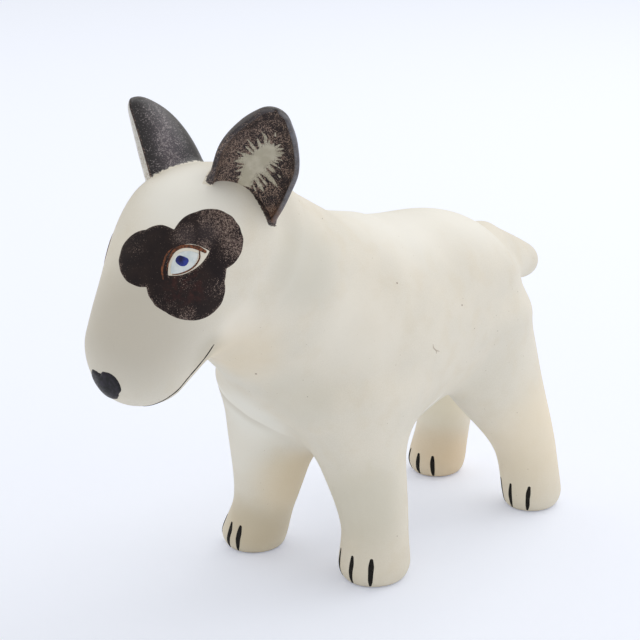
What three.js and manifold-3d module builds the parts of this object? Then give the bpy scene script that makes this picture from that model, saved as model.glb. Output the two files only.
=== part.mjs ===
// Stoneware figurine of a standing bull terrier, made as a potter makes it: trunk and neck, head, four
// legs, a tail stub and two cupped ears, luted together with slip, each joint smoothed into a fillet.
// The dark engobe and the glazes are laid into shallow beds cut in the clay.
// Millimetres. The dog looks along -Y, its left side is +X, and it stands on z = 0.
import * as THREE from "three";
import { mergeVertices } from "three/addons/utils/BufferGeometryUtils.js";
import Module from "manifold-3d";

const wasm = await Module();
wasm.setup();

// Stance, from paw centre to paw centre
const stanceWidth = 34.5;
const stanceLength = 66.5;
const foreStride = 7.5; // the right fore paw stands this far ahead of the left one

// Trunk
const withersHeight = 85.5;
const backHeight = 84.7;
const croupHeight = 80.8;
const brisketHeight = 30;
const bellyHeight = 32.5;
const flankHeight = 48;
const shoulderWidth = 51;
const loinWidth = 46.5;
const hipWidth = 39.5;
const chestReach = 17.8; // ahead of the fore paws
const rumpReach = 4.2; // behind the hind paws

// Neck and head
const neckWidth = 37;
const neckDepth = 39;
const headLength = 60.5;
const headTilt = 44.5; // degrees below level
const headReach = 62.5; // from the fore paws to the tip of the muzzle
const muzzleHeight = 60.7;
const skullWidth = 39.5;
const skullDepth = 36.5;
const muzzleWidth = 22;
const muzzleDepth = 18;

// Legs and tail
const pawWidth = 17;
const pawLength = 18;
const ankleWidth = 16;
const shoulderSpread = 10.7; // from the middle plane to the top of a fore leg
const hipSpread = 9.1;
const hipAdvance = 18; // the hips lie this far ahead of the hind paws
const upperForeWidth = 28.5;
const upperForeDepth = 34;
const thighWidth = 25;
const thighDepth = 37;
const tailLength = 28;
const tailDroop = 22; // degrees below level
const tailWidth = 14.7;

// Ears
const leftEarHeight = 22.5;
const rightEarHeight = 23.9;
const earWidth = 18.3;
const earDepth = 13.3; // from the cup's mouth to its back, at the foot of the ear
const earRim = 1.2;
const cupDepth = 5;
const leftEarLean = 25.5; // degrees outward
const rightEarLean = 21;
const leftEarTurn = 46.5; // degrees outward from straight ahead
const rightEarTurn = 37;

// Painted and glazed details
const frontLobe = 6.3; // radii of the patch round the left eye
const rearLobe = 6.9;
const lowerLobe = 7.7;
const patchMiddle = 5.4;
const eyeLength = 7.8;
const eyeHeight = 4.1;
const eyeSlant = 37; // degrees, outer corner high
const openingLength = 10.6; // of the clay left bare round the left eyeball
const openingHeight = 5.6;
const openingSlant = 31;
const irisRadius = 1.35;
const noseWidth = 8.8;
const noseHeight = 7.2;
const mouthWidth = 0.8;
const toeStroke = 1.2;

// Clay
const seam = 0.3; // left between two pieces for the slip, and round every inlay
const fillet = 8; // how softly a joint is smoothed
const collar = 2.5; // a limb's joint line runs this far outside the limb
const inlayDepth = 1;
const inlayProud = 0.12;

const { cos, sin, hypot, min, max, PI } = Math;
const rad = THREE.MathUtils.degToRad;
const V = (x, y, z) => new THREE.Vector3(x, y, z);

// A smooth curve through [position, value] pairs, level beyond its ends
function curve(...pairs) {
  const slopes = pairs.map((_, i) => {
    const a = pairs[max(i - 1, 0)];
    const b = pairs[min(i + 1, pairs.length - 1)];
    return (b[1] - a[1]) / (b[0] - a[0]);
  });
  return (t) => {
    if (t <= pairs[0][0]) return pairs[0][1];
    const i = pairs.findIndex((p) => p[0] > t) - 1;
    if (i < 0) return pairs.at(-1)[1];
    const [t0, v0] = pairs[i];
    const [t1, v1] = pairs[i + 1];
    const span = t1 - t0;
    const k = (t - t0) / span;
    const rise = (2 * k ** 3 - 3 * k ** 2 + 1) * v0 + (3 * k ** 2 - 2 * k ** 3) * v1;
    return rise + ((k ** 3 - 2 * k ** 2 + k) * slopes[i] + (k ** 3 - k ** 2) * slopes[i + 1]) * span;
  };
}

// A tapering clay form: ovals square to a straight axis, whose middles and half sizes follow curves
// along it. Each end is rounded off over its own length, or stands on a flat sole.
class Form {
  constructor(shape) {
    Object.assign(this, { across: () => 0, up: () => 0, sole: 0 }, shape);
    this.axis = shape.axis.clone().normalize();
    this.side = shape.side.clone().normalize();
    this.lift = new THREE.Vector3().crossVectors(this.axis, this.side);
  }

  // A point by its distance along the axis and its angle round it; scale shrinks the oval
  point(s, angle, scale = 1) {
    const k = s / this.length;
    const a = this.halfWidth(k) * scale * cos(angle);
    const b = this.halfHeight(k) * scale * sin(angle);
    return this.origin
      .clone()
      .addScaledVector(this.axis, s)
      .addScaledVector(this.side, this.across(k) + a)
      .addScaledVector(this.lift, this.up(k) + b);
  }

  // How far a point lies outside the form, roughly in millimetres; negative inside
  depth(p) {
    const d = p.clone().sub(this.origin);
    const s = d.dot(this.axis);
    const k = min(max(s / this.length, 0), 1);
    const [a, b] = [this.halfWidth(k), this.halfHeight(k)];
    const u = (d.dot(this.side) - this.across(k)) / a;
    const v = (d.dot(this.lift) - this.up(k)) / b;
    const start = this.sole ? 0 : max(0, (this.roundStart - s) / this.roundStart);
    const end = max(0, (s - this.length + this.roundEnd) / this.roundEnd);
    return (hypot(u, v, start, end) - 1) * min(a, b);
  }

  // Rings of surface points from one end to the other
  rings(count, sides, grow = 0) {
    const cap = 4;
    const stations = [];
    for (let i = 0; i < cap; i++) {
      const turn = ((i + (this.sole ? 0 : 0.4)) / cap) * (PI / 2);
      const scale = this.sole ? this.sole + (1 - this.sole) * sin(turn) : sin(turn);
      const reach = this.roundStart + (this.sole ? 0 : grow);
      stations.push([this.roundStart - reach * cos(turn), scale]);
    }
    const straight = this.length - this.roundStart - this.roundEnd;
    for (let i = 0; i <= count; i++) stations.push([this.roundStart + (straight * i) / count, 1]);
    for (let i = cap - 1; i >= 0; i--) {
      const turn = ((i + 0.4) / cap) * (PI / 2);
      stations.push([this.length - this.roundEnd + (this.roundEnd + grow) * cos(turn), sin(turn)]);
    }
    return stations.map(([s, scale]) =>
      Array.from({ length: sides }, (_, j) => {
        const angle = (2 * PI * j) / sides;
        const outward = this.point(s, angle, 1).sub(this.point(s, angle, 0)).normalize();
        return this.point(s, angle, scale).addScaledVector(outward, scale * grow);
      }),
    );
  }

  solid(grow = 0) {
    return toSolid(loft(this.rings(this.ringCount, this.sideCount, grow)));
  }

  // A point on the bare form, with its rounded muzzle or rump taken into account
  skin(k, angle) {
    const end = max(0, k * this.length - this.length + this.roundEnd) / this.roundEnd;
    const start = max(0, this.roundStart - k * this.length) / this.roundStart;
    return this.point(k * this.length, angle, Math.sqrt(max(0, 1 - end * end - start * start)));
  }
}

// A closed mesh from rings of points, each end closed by a fan round its middle
function loft(rings) {
  const sides = rings[0].length;
  const middle = (ring) => ring.reduce((sum, p) => sum.add(p), V(0, 0, 0)).divideScalar(sides);
  const points = [...rings.flat(), middle(rings[0]), middle(rings.at(-1))];
  const index = [];
  for (let r = 0; r + 1 < rings.length; r++) {
    for (let j = 0; j < sides; j++) {
      const a = r * sides + j;
      const b = r * sides + ((j + 1) % sides);
      index.push(a, b, b + sides, a, b + sides, a + sides);
    }
  }
  const last = (rings.length - 1) * sides;
  for (let j = 0; j < sides; j++) {
    const n = (j + 1) % sides;
    index.push(points.length - 2, n, j, points.length - 1, last + j, last + n);
  }
  let volume = 0;
  for (let i = 0; i < index.length; i += 3) {
    const [a, b, c] = [points[index[i]], points[index[i + 1]], points[index[i + 2]]];
    volume += a.dot(b.clone().cross(c));
  }
  if (volume < 0) index.reverse();
  const geometry = new THREE.BufferGeometry().setFromPoints(points);
  geometry.setIndex(index);
  return geometry;
}

function toSolid(geometry) {
  const bare = new THREE.BufferGeometry();
  bare.setAttribute("position", geometry.attributes.position);
  if (geometry.index) bare.setIndex(geometry.index);
  const welded = mergeVertices(bare, 1e-4);
  const mesh = new wasm.Mesh({
    numProp: 3,
    vertProperties: new Float32Array(welded.attributes.position.array),
    triVerts: new Uint32Array(welded.index.array),
  });
  mesh.merge();
  return new wasm.Manifold(mesh);
}

function toGeometry(solid) {
  const mesh = solid.getMesh();
  const geometry = new THREE.BufferGeometry();
  geometry.setAttribute("position", new THREE.BufferAttribute(new Float32Array(mesh.vertProperties), 3));
  geometry.setIndex(Array.from(mesh.triVerts));
  return geometry;
}

// An outline stood up as a bar along a direction, through a point
function bar(shape, at, along, up, length, curveSegments) {
  const geometry = new THREE.ExtrudeGeometry(shape, { depth: length, bevelEnabled: false, curveSegments });
  geometry.translate(0, 0, -length / 2);
  const z = along.clone().normalize();
  const x = new THREE.Vector3().crossVectors(up, z).normalize();
  const y = new THREE.Vector3().crossVectors(z, x);
  geometry.applyMatrix4(new THREE.Matrix4().makeBasis(x, y, z).setPosition(at));
  return toSolid(geometry);
}

const X = V(1, 0, 0);
const Y = V(0, 1, 0);
const Z = V(0, 0, 1);

// Trunk, from chest to rump
const foreY = -stanceLength / 2;
const hindY = stanceLength / 2;
const chestY = foreY - chestReach;
const rumpY = hindY + rumpReach;
const top = curve([0, withersHeight - 15.5], [0.28, withersHeight], [0.55, backHeight], [0.8, croupHeight], [1, croupHeight - 12.3]);
const under = curve([0, brisketHeight + 10], [0.28, brisketHeight], [0.55, bellyHeight], [0.8, flankHeight], [1, flankHeight + 7]);
const trunk = new Form({
  origin: V(0, chestY, 0),
  axis: V(0, 1, 0),
  side: V(-1, 0, 0),
  length: rumpY - chestY,
  up: (k) => (top(k) + under(k)) / 2,
  halfWidth: curve([0, shoulderWidth * 0.39], [0.28, shoulderWidth / 2], [0.55, loinWidth / 2], [0.8, hipWidth / 2], [1, hipWidth * 0.445]),
  halfHeight: (k) => (top(k) - under(k)) / 2,
  roundStart: 16.5,
  roundEnd: 18.5,
  ringCount: 10,
  sideCount: 22,
});

// Head, from the back of the skull to the tip of the muzzle
const tilt = rad(headTilt);
const headAxis = V(0, -cos(tilt), -sin(tilt));
const muzzleTip = V(0, foreY - headReach, muzzleHeight);
const head = new Form({
  origin: muzzleTip.clone().addScaledVector(headAxis, -headLength),
  axis: headAxis,
  side: X,
  length: headLength,
  up: curve([0, 1.3], [0.35, 2.8], [0.7, 2.1], [1, 0]),
  halfWidth: curve([0, skullWidth * 0.41], [0.35, skullWidth / 2], [0.7, skullWidth * 0.24 + muzzleWidth * 0.23], [1, muzzleWidth / 2]),
  halfHeight: curve([0, skullDepth * 0.455], [0.35, skullDepth / 2], [0.7, skullDepth * 0.26 + muzzleDepth * 0.27], [1, muzzleDepth / 2]),
  roundStart: 18.7,
  roundEnd: 9.6,
  ringCount: 9,
  sideCount: 22,
});

// Neck, from inside the shoulders to inside the skull
const neckFoot = V(0, foreY + 8, withersHeight * 0.7);
const neckTop = head.origin.clone().addScaledVector(headAxis, headLength * 0.3);
const neck = new Form({
  origin: neckFoot,
  axis: neckTop.clone().sub(neckFoot),
  side: X,
  length: neckTop.distanceTo(neckFoot),
  halfWidth: curve([0, neckWidth * 0.59], [1, neckWidth / 2]),
  halfHeight: curve([0, neckDepth * 0.65], [1, neckDepth / 2]),
  roundStart: 10,
  roundEnd: 8,
  ringCount: 5,
  sideCount: 18,
});

// A leg, from its flat sole up into the trunk. knee and kneeDepth are the leg's size below the trunk as
// shares of the ankle's; bow moves that place off the straight way from the ankle to the top.
function leg({ paw, ankle, hip, size, ankleSize, knee, kneeDepth, bow, width, depth }) {
  const thick = (ankleWidth * ankleSize) / 2;
  const wide = (pawWidth * size) / 2;
  const long = (pawLength * size) / 2;
  const middle = ankle.clone().lerp(hip, 0.44).add(V(bow, bow, 0));
  return new Form({
    origin: V(0, 0, 0),
    axis: Z,
    side: X,
    length: hip.z,
    across: curve([0, paw.x], [0.07, paw.x], [0.28, ankle.x], [0.6, middle.x], [1, hip.x]),
    up: curve([0, paw.y], [0.07, paw.y], [0.28, ankle.y], [0.6, middle.y], [1, hip.y]),
    halfWidth: curve([0, wide], [0.07, wide], [0.25, thick], [0.6, thick * knee], [1, width / 2]),
    halfHeight: curve([0, long], [0.07, long], [0.25, thick * 1.04], [0.6, thick * kneeDepth], [1, depth / 2]),
    roundStart: 5,
    roundEnd: 8,
    sole: 0.72,
    ringCount: 8,
    sideCount: 16,
  });
}
const half = stanceWidth / 2;
const shoulderTop = (brisketHeight + withersHeight) / 2 - 2;
const hipTop = (flankHeight + croupHeight) / 2 - 2.5;
const leftFore = foreY + foreStride / 2;
const rightFore = foreY - foreStride / 2;
const fore = { width: upperForeWidth, depth: upperForeDepth };
const hind = { width: thighWidth, depth: thighDepth };
const legs = {
  front_left_leg: leg({
    ...fore,
    paw: V(half + 0.5, leftFore + 0.6, 0),
    ankle: V(half + 0.4, leftFore + 0.4, 0),
    hip: V(shoulderSpread, foreY, shoulderTop),
    size: 1.03,
    ankleSize: 1.03,
    knee: 1.23,
    kneeDepth: 1.48,
    bow: 0,
  }),
  front_right_leg: leg({
    ...fore,
    paw: V(-half, rightFore + 0.8, 0),
    ankle: V(4 - half, rightFore + 1.2, 0),
    hip: V(-shoulderSpread, foreY, shoulderTop),
    size: 0.98,
    ankleSize: 1,
    knee: 1.36,
    kneeDepth: 1.63,
    bow: 0.5,
  }),
  rear_left_leg: leg({
    ...hind,
    paw: V(half + 1.1, hindY, 0),
    ankle: V(half - 1.3, hindY - 1.3, 0),
    hip: V(hipSpread, hindY - hipAdvance, hipTop),
    size: 0.92,
    ankleSize: 1.03,
    knee: 1.25,
    kneeDepth: 1.95,
    bow: -1.3,
  }),
  rear_right_leg: leg({
    ...hind,
    paw: V(2 - half, hindY, 0),
    ankle: V(2.4 - half, hindY + 2.3, 0),
    hip: V(-hipSpread, hindY - hipAdvance, hipTop),
    size: 0.92,
    ankleSize: 0.93,
    knee: 1.25,
    kneeDepth: 1.7,
    bow: 0.4,
  }),
};

// Tail stub
const droop = rad(tailDroop);
const tail = new Form({
  origin: V(0, rumpY - 10, croupHeight - 10.6),
  axis: V(0, cos(droop), -sin(droop)),
  side: V(-1, 0, 0),
  length: tailLength,
  halfWidth: curve([0, tailWidth / 2], [1, tailWidth * 0.27]),
  halfHeight: curve([0, tailWidth / 2], [1, tailWidth * 0.27]),
  roundStart: 4,
  roundEnd: 5,
  ringCount: 5,
  sideCount: 12,
});

// The whole dog as one piece of clay. Joined bare, every joint is a sharp crease; each point of the skin
// then moves out to the surface that all the forms make together when their joints are smoothed.
const forms = [trunk, neck, head, tail, ...Object.values(legs)];
function smoothUnion(a, b) {
  const h = max(fillet - Math.abs(a - b), 0) / fillet;
  return min(a, b) - (h * h * fillet) / 4;
}
const sharpDepth = (p) => forms.reduce((least, form) => min(least, form.depth(p)), Infinity);
const clayDepth = (p) => forms.reduce((sum, form) => smoothUnion(sum, form.depth(p)), 1000);
function outwardAt(p) {
  const step = 0.2;
  const across = [X, Y, Z].map((axis) => {
    const ahead = clayDepth(p.clone().addScaledVector(axis, step));
    return (ahead - clayDepth(p.clone().addScaledVector(axis, -step))) / (2 * step);
  });
  return V(...across);
}
function settle(p, level = 0) {
  const q = p.clone();
  for (let i = 0; i < 6; i++) {
    const off = clayDepth(q) - level;
    if (Math.abs(off) < 0.01) break;
    const slope = outwardAt(q);
    q.addScaledVector(slope, -off / max(slope.lengthSq(), 0.3));
  }
  return q;
}
const bareGeometry = toGeometry(wasm.Manifold.union(forms.map((form) => form.solid())));
const points = [];
for (let i = 0; i < bareGeometry.attributes.position.count; i++) {
  const p = V(0, 0, 0).fromBufferAttribute(bareGeometry.attributes.position, i);
  const crease = p.z > 5 && sharpDepth(p) - clayDepth(p) > 0.02;
  points.push({ at: crease ? settle(p, sharpDepth(p)) : p, crease, beside: new Set() });
}
const corners = bareGeometry.index.array;
for (let i = 0; i < corners.length; i += 3) {
  for (const [a, b] of [[0, 1], [1, 2], [2, 0]]) {
    points[corners[i + a]].beside.add(corners[i + b]);
    points[corners[i + b]].beside.add(corners[i + a]);
  }
}
// The points crowded along the old creases are spread out over the fillets
for (let pass = 0; pass < 10; pass++) {
  for (const point of points.filter(({ crease }) => crease)) {
    const mean = [...point.beside].reduce((sum, n) => sum.add(points[n].at), V(0, 0, 0));
    mean.divideScalar(point.beside.size);
    point.at = settle(point.at.clone().lerp(mean, 0.5));
  }
}
const skin = points.map(({ at }) => ({ point: at, outward: outwardAt(at).normalize() }));
function clayBody(grow = 0) {
  const geometry = new THREE.BufferGeometry();
  geometry.setFromPoints(skin.map(({ point, outward }) => point.clone().addScaledVector(outward, grow)));
  geometry.setIndex(bareGeometry.index);
  return toSolid(geometry);
}

// Everything on one side of a plane, the side that the normal points to
function beyond(point, normal, shift = 0) {
  const size = 400;
  const slab = new THREE.BoxGeometry(size, size, size).translate(0, 0, size / 2 - shift);
  slab.applyQuaternion(new THREE.Quaternion().setFromUnitVectors(Z, normal.clone().normalize()));
  return toSolid(slab.translate(point.x, point.y, point.z));
}

// Where each piece parts from the trunk; shift opens the joint by the seam
const partings = {
  head: (shift) => beyond(V(0, foreY - 23, muzzleHeight + 20), V(0, -0.95, 0.3), shift),
  tail: (shift) =>
    tail.solid(collar + shift).intersect(beyond(V(0, rumpY - 1, croupHeight - 13), tail.axis, shift)),
};
for (const [name, form] of Object.entries(legs)) {
  const side = name.includes("left") ? 1 : -1;
  const fore = name.startsWith("front");
  const height = fore ? brisketHeight + 16 : flankHeight + 4;
  partings[name] = (shift) =>
    form
      .solid(collar + shift)
      .intersect(beyond(V(side * 16, 0, height), V(side * 0.55, 0, -0.83), shift))
      .intersect(beyond(V(side * seam, 0, 0), V(side, 0, 0), shift));
}

// Ears: a leaf-shaped cup, its mouth turned outward, its back as round as a horn's
const leaf = curve([-0.3, 0.74], [-0.1, 0.92], [0.2, 1], [0.45, 1], [0.7, 0.78], [0.88, 0.51], [0.96, 0.35], [1, 0.1]);
const bulge = (k) => Math.sqrt(max(0.004, 1 - max(k, 0) ** 2));
const shallow = (k) => 1 - 0.8 * min(1, max(0, (0.3 - k) / 0.5)) ** 1.5; // towards the foot
const hollow = (k) => shallow(k) * Math.sqrt(max(0, 1 - (max(k, 0.25) - 0.25) ** 2 / 0.56));

function ear(side, foot, lean, turn, height) {
  const rise = V(side * sin(rad(lean)), 0, cos(rad(lean)));
  const mouth = V(side * sin(rad(turn)), -cos(rad(turn)), 0).projectOnPlane(rise).normalize();
  const along = new THREE.Vector3().crossVectors(rise, mouth);
  const at = (k, u, v) =>
    foot.clone().addScaledVector(rise, k * height).addScaledVector(along, u).addScaledVector(mouth, v);
  const halfAt = (k) => (leaf(k) * earWidth) / 2;
  const cupAt = (k) => cupDepth * hollow(k);
  const innerAt = (k) => max(halfAt(k) - earRim, halfAt(k) * 0.3);

  const rings = [-0.3, -0.15, 0, 0.12, 0.24, 0.36, 0.48, 0.6, 0.72, 0.82, 0.9, 0.96, 0.99].map((k) => {
    const [a, b, inner, deep] = [halfAt(k), earDepth * bulge(k), innerAt(k), cupAt(k)];
    const rim = min(earRim, a * 0.6);
    const ring = [];
    for (let j = 0; j <= 11; j++) ring.push(at(k, a * cos((PI * j) / 11), -b * sin((PI * j) / 11)));
    ring.push(at(k, rim / 2 - a, rim * 0.35));
    for (let j = 10; j >= 0; j--) ring.push(at(k, inner * cos((PI * j) / 10), -deep * sin((PI * j) / 10)));
    ring.push(at(k, a - rim / 2, rim * 0.35));
    return ring;
  });

  // The pale patch lies on the floor of the cup
  const patch = (spread, below, above, from, to) => {
    const steps = 7;
    const list = [];
    for (let i = 0; i <= steps; i++) {
      const k = from + ((to - from) * i) / steps;
      const open = spread * Math.sqrt(max(0.12, 1 - ((2 * i) / steps - 1) ** 2));
      const turns = [-1, -0.67, -0.33, 0, 0.33, 0.67, 1].map((j) => PI / 2 + side * 0.1 + open * j);
      const floor = (turn, lift) => at(k, (innerAt(k) - lift) * cos(turn), (lift - cupAt(k)) * sin(turn));
      const lower = turns.map((turn) => floor(turn, -below));
      const upper = turns.map((turn) => floor(turn, above)).reverse();
      list.push([...lower, ...upper]);
    }
    return toSolid(loft(list));
  };
  return {
    solid: toSolid(loft(rings)),
    inlay: patch(0.62, 0.8, inlayProud, 0, 0.64),
    bed: patch(0.69, 0.8 + seam, 2, -seam / height, 0.64 + seam / height),
  };
}

const leftFoot = head.point(9.8, rad(34.7), 0.87);
const rightFoot = head.point(15.4, rad(152.5), 0.8);
const ears = {
  left_ear: ear(1, leftFoot, leftEarLean, leftEarTurn, leftEarHeight),
  right_ear: ear(-1, rightFoot, rightEarLean, rightEarTurn, rightEarHeight),
};

// Bars that cut the inlays and their beds out of the skin of the clay
const disc = (x, y, radius) => new THREE.Shape().absarc(x, y, radius, 0, 2 * PI);
const leftEye = { spot: settle(head.skin(0.507, rad(49))), aim: V(0.62, -0.69, 0.37).normalize(), side: 1 };
const rightEye = { spot: settle(head.skin(0.507, rad(150))), aim: V(-0.9, -0.38, 0.24).normalize(), side: -1 };
const lobes = (more) => {
  const rounds = [
    [-8.1, 1, frontLobe],
    [-5.2, 2.7, frontLobe - 0.8],
    [6.2, 5, rearLobe],
    [4.3, 4.8, rearLobe - 0.5],
    [1.6, -4.8, lowerLobe],
    [-1, -4.6, lowerLobe - 1.1],
    [3.6, -1.6, lowerLobe - 1.7],
    [-0.5, 1.4, patchMiddle],
  ];
  const bars = rounds.map(([x, y, r]) => bar(disc(x, y, r + more), leftEye.spot, leftEye.aim, Z, 24, 6));
  return wasm.Manifold.union(bars);
};
// An almond with its corners left and right, slanted outer corner high
function almond(eye, length, height, slant, more, x = 0, y = 0) {
  const [a, b] = [length / 2 + more * 1.6, height + 2 * more];
  const shape = new THREE.Shape().moveTo(-a, 0);
  shape.quadraticCurveTo(0, b * 1.1, a, 0);
  shape.quadraticCurveTo(0, -b * 0.9, -a, 0);
  const right = new THREE.Vector3().crossVectors(Z, eye.aim).normalize();
  const up = new THREE.Vector3().crossVectors(eye.aim, right);
  const at = eye.spot.clone().addScaledVector(right, eye.side * x).addScaledVector(up, y);
  return bar(shape, at, eye.aim, up.applyAxisAngle(eye.aim, rad(eye.side * slant)), 24, 5);
}
const opening = () => almond(leftEye, openingLength, openingHeight, openingSlant, 0, 1.25, 0.4);
const eyeball = (eye, more) => almond(eye, eyeLength, eyeHeight, eyeSlant, more, 0.3, 0);
const iris = (eye, more) => bar(disc(eye.side * -0.15, 0.2, irisRadius + more), eye.spot, eye.aim, Z, 24, 5);

const nosePad = (more) => {
  const [w, h] = [noseWidth / 2 + more, noseHeight / 2 + more];
  const shape = new THREE.Shape().moveTo(0, h * 0.62);
  shape.bezierCurveTo(w * 0.25, h * 1.15, w, h * 1.15, w, h * 0.25);
  shape.bezierCurveTo(w, -h * 0.55, w * 0.45, -h, 0, -h);
  shape.bezierCurveTo(-w * 0.45, -h, -w, -h * 0.55, -w, h * 0.25);
  shape.bezierCurveTo(-w, h * 1.15, -w * 0.25, h * 1.15, 0, h * 0.62);
  return bar(shape, V(-0.6, muzzleTip.y - 2, muzzleHeight + 3.8), V(0, -0.95, -0.3), Z, 16, 4);
};

// The mouth is one line that runs from cheek to cheek under the chin
const mouthHalf = [[0.655, -24], [0.7, -29], [0.75, -30.5], [0.8, -30], [0.86, -30.5], [0.9, -33], [0.935, -42], [0.955, -57], [0.962, -74]];
const mouthPath = [
  ...mouthHalf,
  [0.964, -90],
  ...mouthHalf.map(([k, angle]) => [k, -180 - angle]).reverse(),
].map(([k, angle]) => settle(head.skin(k, rad(angle))));
const mouthLine = (more) => {
  const last = mouthPath.length - 1;
  const rings = mouthPath.map((p, i) => {
    const run = mouthPath[min(i + 1, last)].clone().sub(mouthPath[max(i - 1, 0)]).normalize();
    const out = outwardAt(p).projectOnPlane(run).normalize();
    const across = new THREE.Vector3().crossVectors(run, out);
    const thin = i === 0 || i === last ? 0.55 : 1;
    const radius = (mouthWidth / 2) * thin + more;
    const at = p.clone().addScaledVector(out, inlayProud - mouthWidth / 2);
    if (i === 0) at.addScaledVector(run, -more);
    if (i === last) at.addScaledVector(run, more);
    return Array.from({ length: 7 }, (_, j) => {
      const turn = (2 * PI * j) / 7;
      return at.clone().addScaledVector(out, radius * sin(turn)).addScaledVector(across, radius * cos(turn));
    });
  });
  return toSolid(loft(rings));
};

// Three strokes on each paw: turns and leans in degrees, from straight ahead and from upright
const toes = {
  front_left_leg: { turns: [-31, 3, 36.5], middle: 4.6, length: 7.2, lean: 2 },
  front_right_leg: { turns: [-27, -6, 16], middle: 4.5, length: 7.2, lean: 12 },
  rear_left_leg: { turns: [-37, -4.5, 32], middle: 4.3, length: 6.8, lean: 2 },
  rear_right_leg: { turns: [-34, -1, 32], middle: 3.7, length: 5.6, lean: 0 },
};
const stroke = (form, toe, turn, more) => {
  const [r, h] = [toeStroke / 2 + more, toe.length / 2 - toeStroke / 2];
  const shape = new THREE.Shape();
  shape.absarc(0, h, r, 0, PI);
  shape.absarc(0, -h, r * 0.8, PI, 2 * PI);
  const ahead = V(sin(rad(turn)), -cos(rad(turn)), 0);
  const upward = V(cos(rad(turn)), sin(rad(turn)), 0).multiplyScalar(sin(rad(toe.lean)));
  upward.addScaledVector(Z, cos(rad(toe.lean)));
  const at = form.point(0, 0, 0).addScaledVector(ahead, 8).addScaledVector(Z, toe.middle);
  return bar(shape, at, ahead, upward, 9, 2);
};

// Cutting up the clay
const body = clayBody();
const skinShell = clayBody(inlayProud).subtract(clayBody(-inlayDepth));
const bedShell = clayBody(1.5).subtract(clayBody(-inlayDepth - seam));
const solids = { trunk: body };
for (const [name, parting] of Object.entries(partings)) {
  solids[name] = body.intersect(parting(0));
  solids.trunk = solids.trunk.subtract(parting(seam));
}
const bodyRoom = clayBody(seam * 1.15);
for (const [name, form] of Object.entries(ears)) {
  solids[name] = form.solid.subtract(bodyRoom).subtract(form.bed);
  solids[name + "_pale_patch"] = form.inlay.subtract(clayBody(seam * 3));
}

solids.eye_patch = skinShell.intersect(lobes(0)).subtract(opening());
for (const [name, eye] of Object.entries({ left: leftEye, right: rightEye })) {
  solids[name + "_eyeball"] = skinShell.intersect(eyeball(eye, 0)).subtract(iris(eye, seam));
  solids[name + "_iris"] = skinShell.intersect(iris(eye, 0));
}
solids.nose = skinShell.intersect(nosePad(0));
solids.mouth_line = mouthLine(0);
const almondCore = almond(leftEye, openingLength, openingHeight, openingSlant, -seam, 1.25, 0.4);
solids.head = wasm.Manifold.difference([
  solids.head,
  bedShell.intersect(lobes(seam).subtract(almondCore)),
  bedShell.intersect(wasm.Manifold.union([eyeball(leftEye, seam), eyeball(rightEye, seam), nosePad(seam)])),
  mouthLine(seam),
]);
for (const [name, form] of Object.entries(legs)) {
  for (const [i, place] of ["right", "middle", "left"].entries()) {
    const [toe, turn] = [toes[name], toes[name].turns[i]];
    solids[name.replace("leg", `toe_${place}`)] = skinShell.intersect(stroke(form, toe, turn, 0));
    solids[name] = solids[name].subtract(bedShell.intersect(stroke(form, toe, turn, seam)));
  }
}

const finishes = {
  clay: { color: 0xe6dfcd, roughness: 0.7 },
  patch: { color: 0x3a2c27, roughness: 0.6 },
  ear: { color: 0x4a4446, roughness: 0.55 },
  pale: { color: 0xcfc6b4, roughness: 0.7 },
  eyeball: { color: 0xdfe6e8, roughness: 0.25 },
  iris: { color: 0x2438a8, roughness: 0.25 },
  black: { color: 0x1f2028, roughness: 0.35 },
};
const finishOf = (name) => {
  if (name.endsWith("pale_patch")) return "pale";
  if (name === "eye_patch") return "patch";
  if (name.endsWith("ear")) return "ear";
  if (name.endsWith("eyeball")) return "eyeball";
  if (name.endsWith("iris")) return "iris";
  if (name === "nose" || name === "mouth_line" || name.includes("toe")) return "black";
  return "clay";
};
const materials = {};
for (const [key, finish] of Object.entries(finishes)) {
  materials[key] = new THREE.MeshStandardMaterial({ ...finish, metalness: 0 });
}
const dog = new THREE.Group();
for (const [name, solid] of Object.entries(solids)) {
  const mesh = new THREE.Mesh(toGeometry(solid), materials[finishOf(name)]);
  mesh.name = name;
  dog.add(mesh);
}

// The origin is the middle of the box round the dog, on the ground
const box = new THREE.Box3().setFromObject(dog);
const middle = box.getCenter(V(0, 0, 0));
for (const mesh of dog.children) mesh.geometry.translate(-middle.x, -middle.y, -box.min.z);

export default dog;
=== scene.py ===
import math

import bpy
import numpy as np
import openvdb
from mathutils import Matrix, Vector


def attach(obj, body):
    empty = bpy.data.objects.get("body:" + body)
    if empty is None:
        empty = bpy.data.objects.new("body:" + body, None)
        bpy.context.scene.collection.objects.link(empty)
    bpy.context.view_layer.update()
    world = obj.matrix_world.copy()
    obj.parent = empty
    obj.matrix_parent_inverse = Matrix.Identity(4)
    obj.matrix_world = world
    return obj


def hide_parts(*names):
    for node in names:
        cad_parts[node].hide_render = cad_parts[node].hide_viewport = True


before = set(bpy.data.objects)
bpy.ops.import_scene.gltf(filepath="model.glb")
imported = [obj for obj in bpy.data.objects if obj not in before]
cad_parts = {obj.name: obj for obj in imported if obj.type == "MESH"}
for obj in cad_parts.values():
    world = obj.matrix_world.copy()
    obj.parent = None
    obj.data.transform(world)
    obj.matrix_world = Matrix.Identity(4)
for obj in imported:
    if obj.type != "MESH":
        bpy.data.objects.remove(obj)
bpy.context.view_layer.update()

ROW_SHIFT = np.array([-0.31, 22.59, 0.0])  # where the CAD part puts the dog's own origin
METRE = 0.001
rng = np.random.default_rng(11)


def row(points):
    return (np.asarray(points, float) + ROW_SHIFT) * METRE


def unit(v):
    v = np.asarray(v, float)
    return v / np.linalg.norm(v, axis=-1, keepdims=True)


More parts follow.
